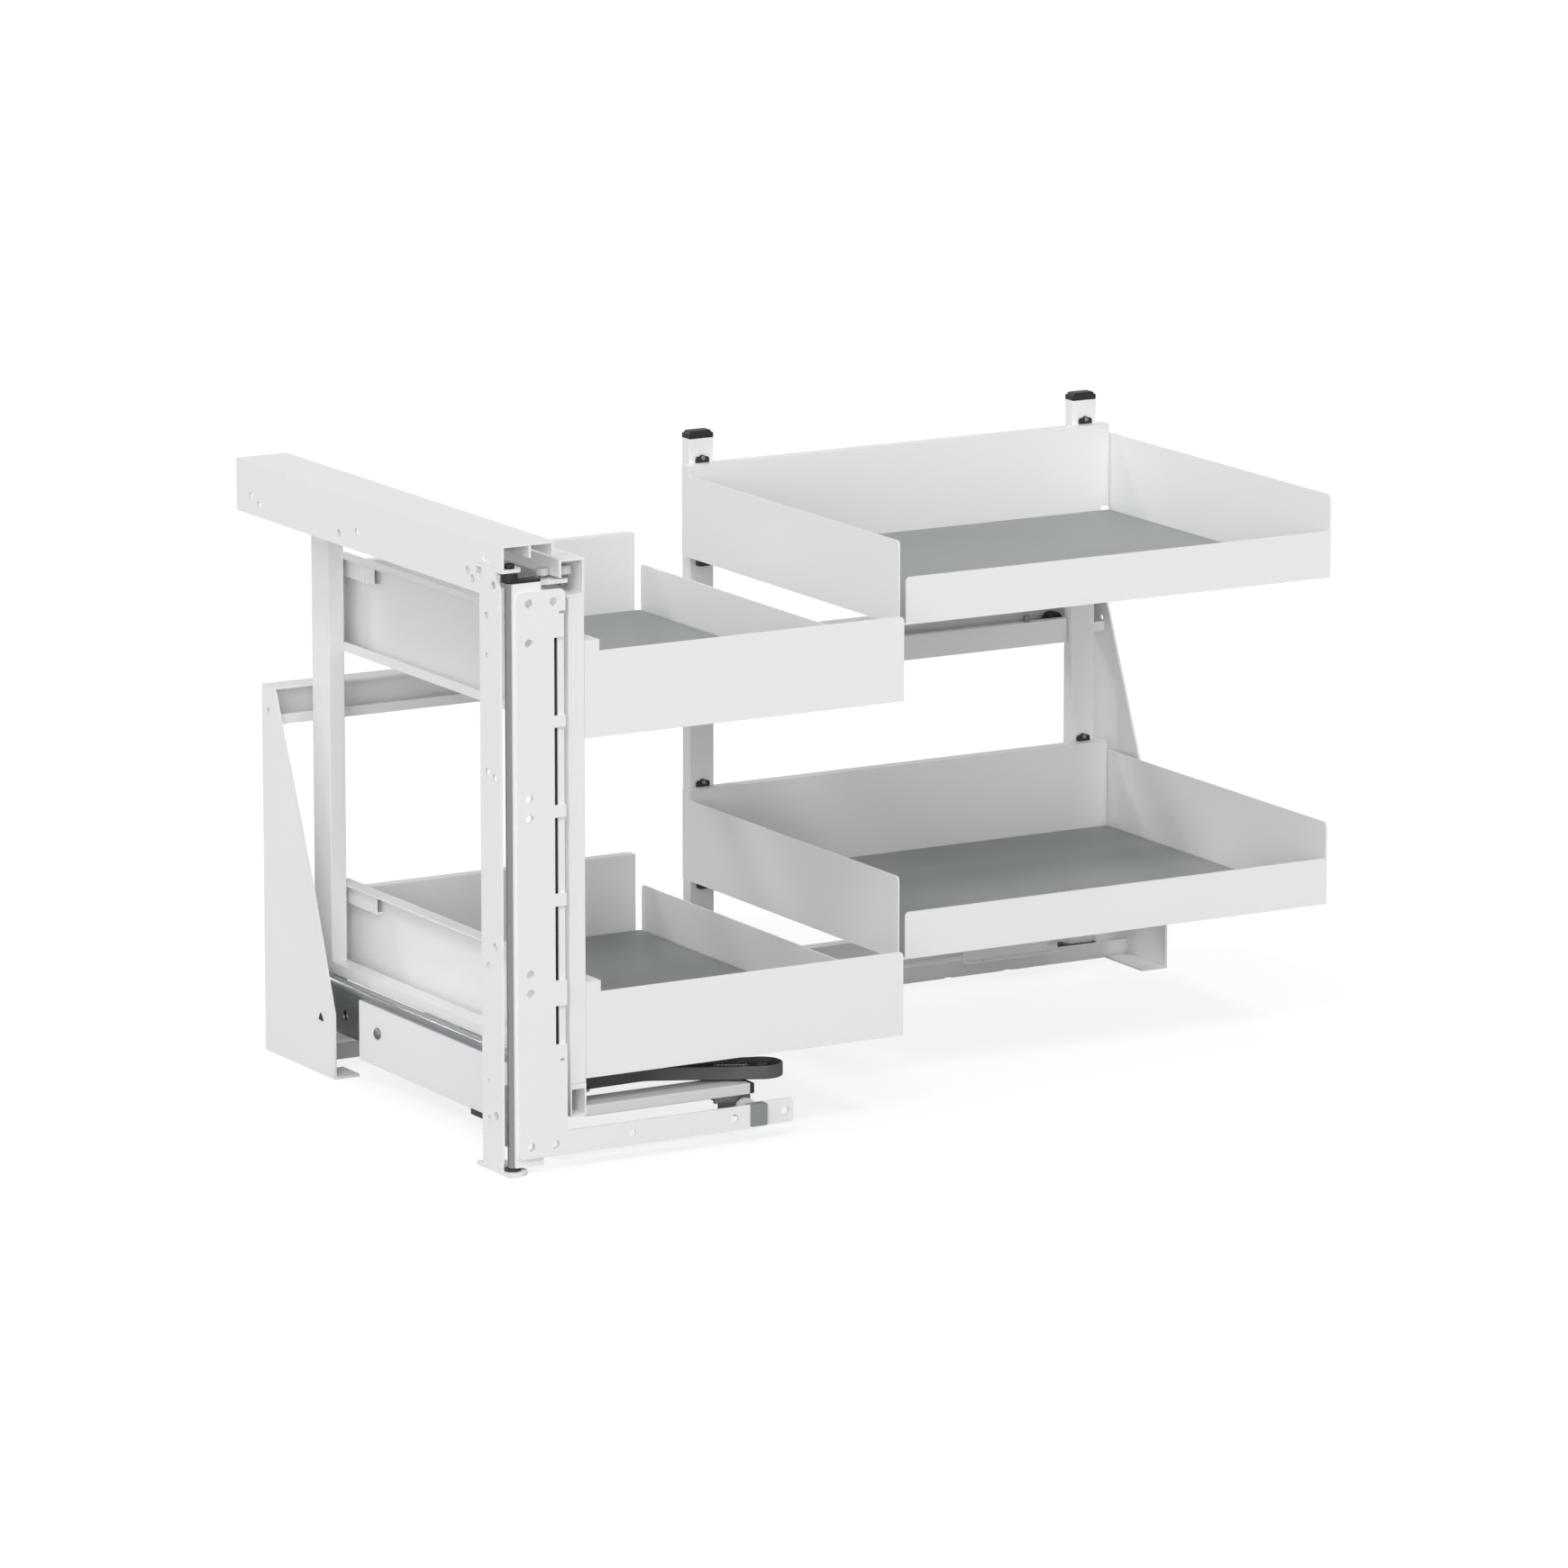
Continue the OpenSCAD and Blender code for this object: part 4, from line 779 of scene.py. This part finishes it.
@dataclass(frozen=True)
class Lamp:
    """A light at infinity, seen as a disc in the sky.

    Its azimuth is 0 in front of the part and 90 on its right. Its width sets how soft the shadows are, and
    its strength is the power per square metre across the light.
    """

    name: str
    azimuth_deg: float
    height_deg: float
    width_deg: float
    strength: float

    def hang(self) -> None:
        """Adds the lamp to the scene."""
        data = bpy.data.lights.new(self.name, "SUN")
        data.energy = self.strength
        data.angle = math.radians(self.width_deg)
        lamp = bpy.data.objects.new(self.name, data)
        bearing, height = math.radians(self.azimuth_deg), math.radians(self.height_deg)
        level = math.cos(height)
        source = Vector((math.sin(bearing) * level, -math.cos(bearing) * level, math.sin(height)))
        lamp.rotation_euler = (-source).to_track_quat("-Z", "Y").to_euler()
        bpy.context.scene.collection.objects.link(lamp)


# Two wide windows light the fronts, and four small lamps draw the shadows inside the trays.
LAMPS = (
    Lamp("front_window", -35, 12, 30, 0.75),
    Lamp("left_window", -75, 24, 50, 0.36),
    Lamp("front_left_lamp", -40, 45, 12, 0.5),
    Lamp("front_lamp", 5, 58, 10, 0.56),
    Lamp("back_left_lamp", -135, 40, 10, 0.4),
    Lamp("back_lamp", 170, 33, 10, 0.3),
)


@dataclass
class Studio:
    """White room with its lamps and floor, and the camera at the photograph's view."""

    camera_m: tuple[float, float, float] = (-3.65848, -6.74612, 1.95483)
    azimuth_deg: float = -30.116
    elevation_deg: float = 12.005
    lens_mm: float = 223.74
    sensor_mm: float = 36.0
    far_m: float = 60.0
    floor_m: float = 16.0
    floor_centre_m: tuple[float, float, float] = (0.4, 0.2, -0.0004)
    room_low: float = 0.62
    room_high: float = 0.36
    floor_paint: float = 0.5
    floor_shade: float = 0.24
    floor_glow: float = 0.82

    def camera(self) -> None:
        """Stands the camera where the photograph was taken."""
        data = bpy.data.cameras.new("view")
        data.lens = self.lens_mm
        data.sensor_width = self.sensor_mm
        data.clip_end = self.far_m
        view = bpy.data.objects.new("view", data)
        view.location = self.camera_m
        view.rotation_euler = (math.radians(90 - self.elevation_deg), 0, math.radians(self.azimuth_deg))
        bpy.context.scene.collection.objects.link(view)
        bpy.context.scene.camera = view

    def seen_directly(self, tree: bpy.types.NodeTree) -> bpy.types.NodeSocket:
        """Gives 1 for rays from the camera or through clear plastic, and 0 for the rest."""
        path = add_node(tree, "ShaderNodeLightPath")
        both = add_node(tree, "ShaderNodeMath", {"operation": "MAXIMUM"},
                        {0: path.outputs["Is Camera Ray"], 1: path.outputs["Is Transmission Ray"]})
        return both.outputs[0]

    def world(self) -> None:
        """Lights the room from all sides, stronger near the floor."""
        world = bpy.data.worlds.new("white_room")
        bpy.context.scene.world = world
        world.use_nodes = True
        tree = world.node_tree
        tree.nodes.clear()
        place = add_node(tree, "ShaderNodeTexCoord")
        split = add_node(tree, "ShaderNodeSeparateXYZ", links={0: place.outputs["Generated"]})
        level = add_node(
            tree, "ShaderNodeMapRange",
            {"From Min": 0.0, "From Max": 1.0, "To Min": self.room_low, "To Max": self.room_high},
            {"Value": split.outputs["Z"]},
        )
        white = (1, 1, 1, 1)
        lit = add_node(tree, "ShaderNodeBackground", {"Color": white}, {"Strength": level.outputs["Result"]})
        plain = add_node(tree, "ShaderNodeBackground", {"Color": white, "Strength": 1.0})
        mix = add_node(tree, "ShaderNodeMixShader",
                       links={0: self.seen_directly(tree), 1: lit.outputs[0], 2: plain.outputs[0]})
        add_node(tree, "ShaderNodeOutputWorld", links={"Surface": mix.outputs[0]})

    def floor(self) -> None:
        """Lays the white floor, seen nearly white with a faint shadow under the part."""
        half = self.floor_m / 2
        mesh = bpy.data.meshes.new("floor")
        corners = [(-half, -half, 0), (half, -half, 0), (half, half, 0), (-half, half, 0)]
        mesh.from_pydata(corners, [], [(0, 1, 2, 3)])
        floor = bpy.data.objects.new("floor", mesh)
        floor.location = self.floor_centre_m
        bpy.context.scene.collection.objects.link(floor)
        made = bpy.data.materials.new("floor_white_paint")
        made.use_nodes = True
        tree = made.node_tree
        tree.nodes.clear()
        paint = add_node(tree, "ShaderNodeBsdfDiffuse", {"Color": (self.floor_paint,) * 3 + (1,)})
        shade = add_node(tree, "ShaderNodeBsdfDiffuse", {"Color": (self.floor_shade,) * 3 + (1,)})
        glow = add_node(tree, "ShaderNodeEmission", {"Color": (1, 1, 1, 1), "Strength": self.floor_glow})
        seen = add_node(tree, "ShaderNodeAddShader", links={0: shade.outputs[0], 1: glow.outputs[0]})
        both = add_node(tree, "ShaderNodeMixShader",
                        links={0: self.seen_directly(tree), 1: paint.outputs[0], 2: seen.outputs[0]})
        add_node(tree, "ShaderNodeOutputMaterial", links={"Surface": both.outputs[0]})
        floor.data.materials.append(made)

    def run(self) -> None:
        """Sets up the view, the room and the lamps."""
        bpy.context.scene.view_settings.view_transform = "Standard"
        self.camera()
        self.world()
        self.floor()
        for lamp in LAMPS:
            lamp.hang()


def coat(*names: str) -> dict[str, Finish]:
    """Gives every named node the white coat."""
    return {name: WHITE_COAT for name in names}


def sub_assemblies() -> list[SubAssembly]:
    """Lists the part's groups in the order that they are made.

    Returns:
        Every group, each with its nodes' finishes.
    """
    return [
        CabinetFrame(
            "cabinet_frame",
            coat("side_beam", "pivot_post", "guide_arm", "side_plate") | {
                "pivot_pin": DRAWN_STEEL, "pivot_bushes": BLACK_NYLON, "guide_arm_bolts": DULL_ZINC,
                "side_plate_rivet": DULL_ZINC, "bumper_pad": DARK_RUBBER, "runner_outer": RUNNER_STEEL,
            },
            wide_edges={"side_beam": 0.4, "pivot_bushes": 0.5},
        ),
        SubAssembly(
            "cabinet_frame",
            coat("rear_bracket_left", "rear_bracket_right", "rear_top_rail", "rear_bottom_rail")
            | {"bracket_plug": BLACK_NYLON},
        ),
        SubAssembly("guide_wheel_outer", {"guide_roller_outer": WHITE_ACETAL}, 0.4),
        SubAssembly("guide_wheel_inner", {"guide_roller_inner": WHITE_ACETAL}, 0.4),
        DoorCarrier(
            "door_carrier",
            coat("door_extrusion", "door_plate", "door_strip")
            | {"pivot_tube": DRAWN_STEEL, "extrusion_cap": BLACK_NYLON, "catch_block": GREY_NYLON},
            wide_edges={"catch_block": 0.5},
        ),
        SubAssembly(
            "front_frame",
            coat("top_channel", "frame_posts", "frame_bottom_rail", "bottom_tube", "tray_hangers",
                 "front_tray_upper", "front_tray_lower")
            # The side bar's grey coat is painted shade from the tray above it.
            | {"side_bar": SHADE_PAINTED_COAT, "runner_inner": RUNNER_STEEL, "bar_end_cap": BLACK_NYLON,
               "wheel_bracket": DULL_ZINC, "wheel_axle": DRAWN_STEEL, "roller_bracket": DULL_ZINC,
               "arm_pivot_pin": DULL_ZINC},
            wide_edges={"bar_end_cap": 0.8, "frame_posts": 0.9, "bottom_tube": 0.7, "side_bar": 0.9},
        ),
        Liners("front_frame", nodes=("front_mat_upper", "front_mat_lower")),
        SubAssembly("runner_slide", {"runner_middle": RUNNER_STEEL}, 0.2),
        SubAssembly("door_wheel", {"catch_wheel": WHITE_ACETAL}, 0.4),
        SubAssembly("beam_wheel", {"beam_roller": WHITE_ACETAL}, 0.4),
        LinkArm("arm"),
        RearCarriage(
            "rear_carriage",
            coat("carriage_posts", "carriage_rails", "catch_tab", "rear_tray_upper", "rear_tray_lower")
            | {"post_caps": BLACK_NYLON, "carriage_axles": DULL_ZINC, "carriage_shoes": BLACK_NYLON,
               "tray_clips": BLACK_NYLON},
            wide_edges={"post_caps": 0.7, "carriage_posts": 0.9, "carriage_rails": 1.2},
        ),
        Liners("rear_carriage", nodes=("rear_mat_upper", "rear_mat_lower")),
        SubAssembly("rear_wheel_left", {"carriage_roller_left": BLACK_NYLON}, 0.5),
        SubAssembly("rear_wheel_right", {"carriage_roller_right": BLACK_NYLON}, 0.5),
    ]


def main() -> None:
    """Makes the studio and every group."""
    logging.basicConfig(level=logging.INFO, format="%(name)s: %(message)s")
    Studio().run()
    for group in sub_assemblies():
        group.run()


if __name__ == "__main__":
    main()
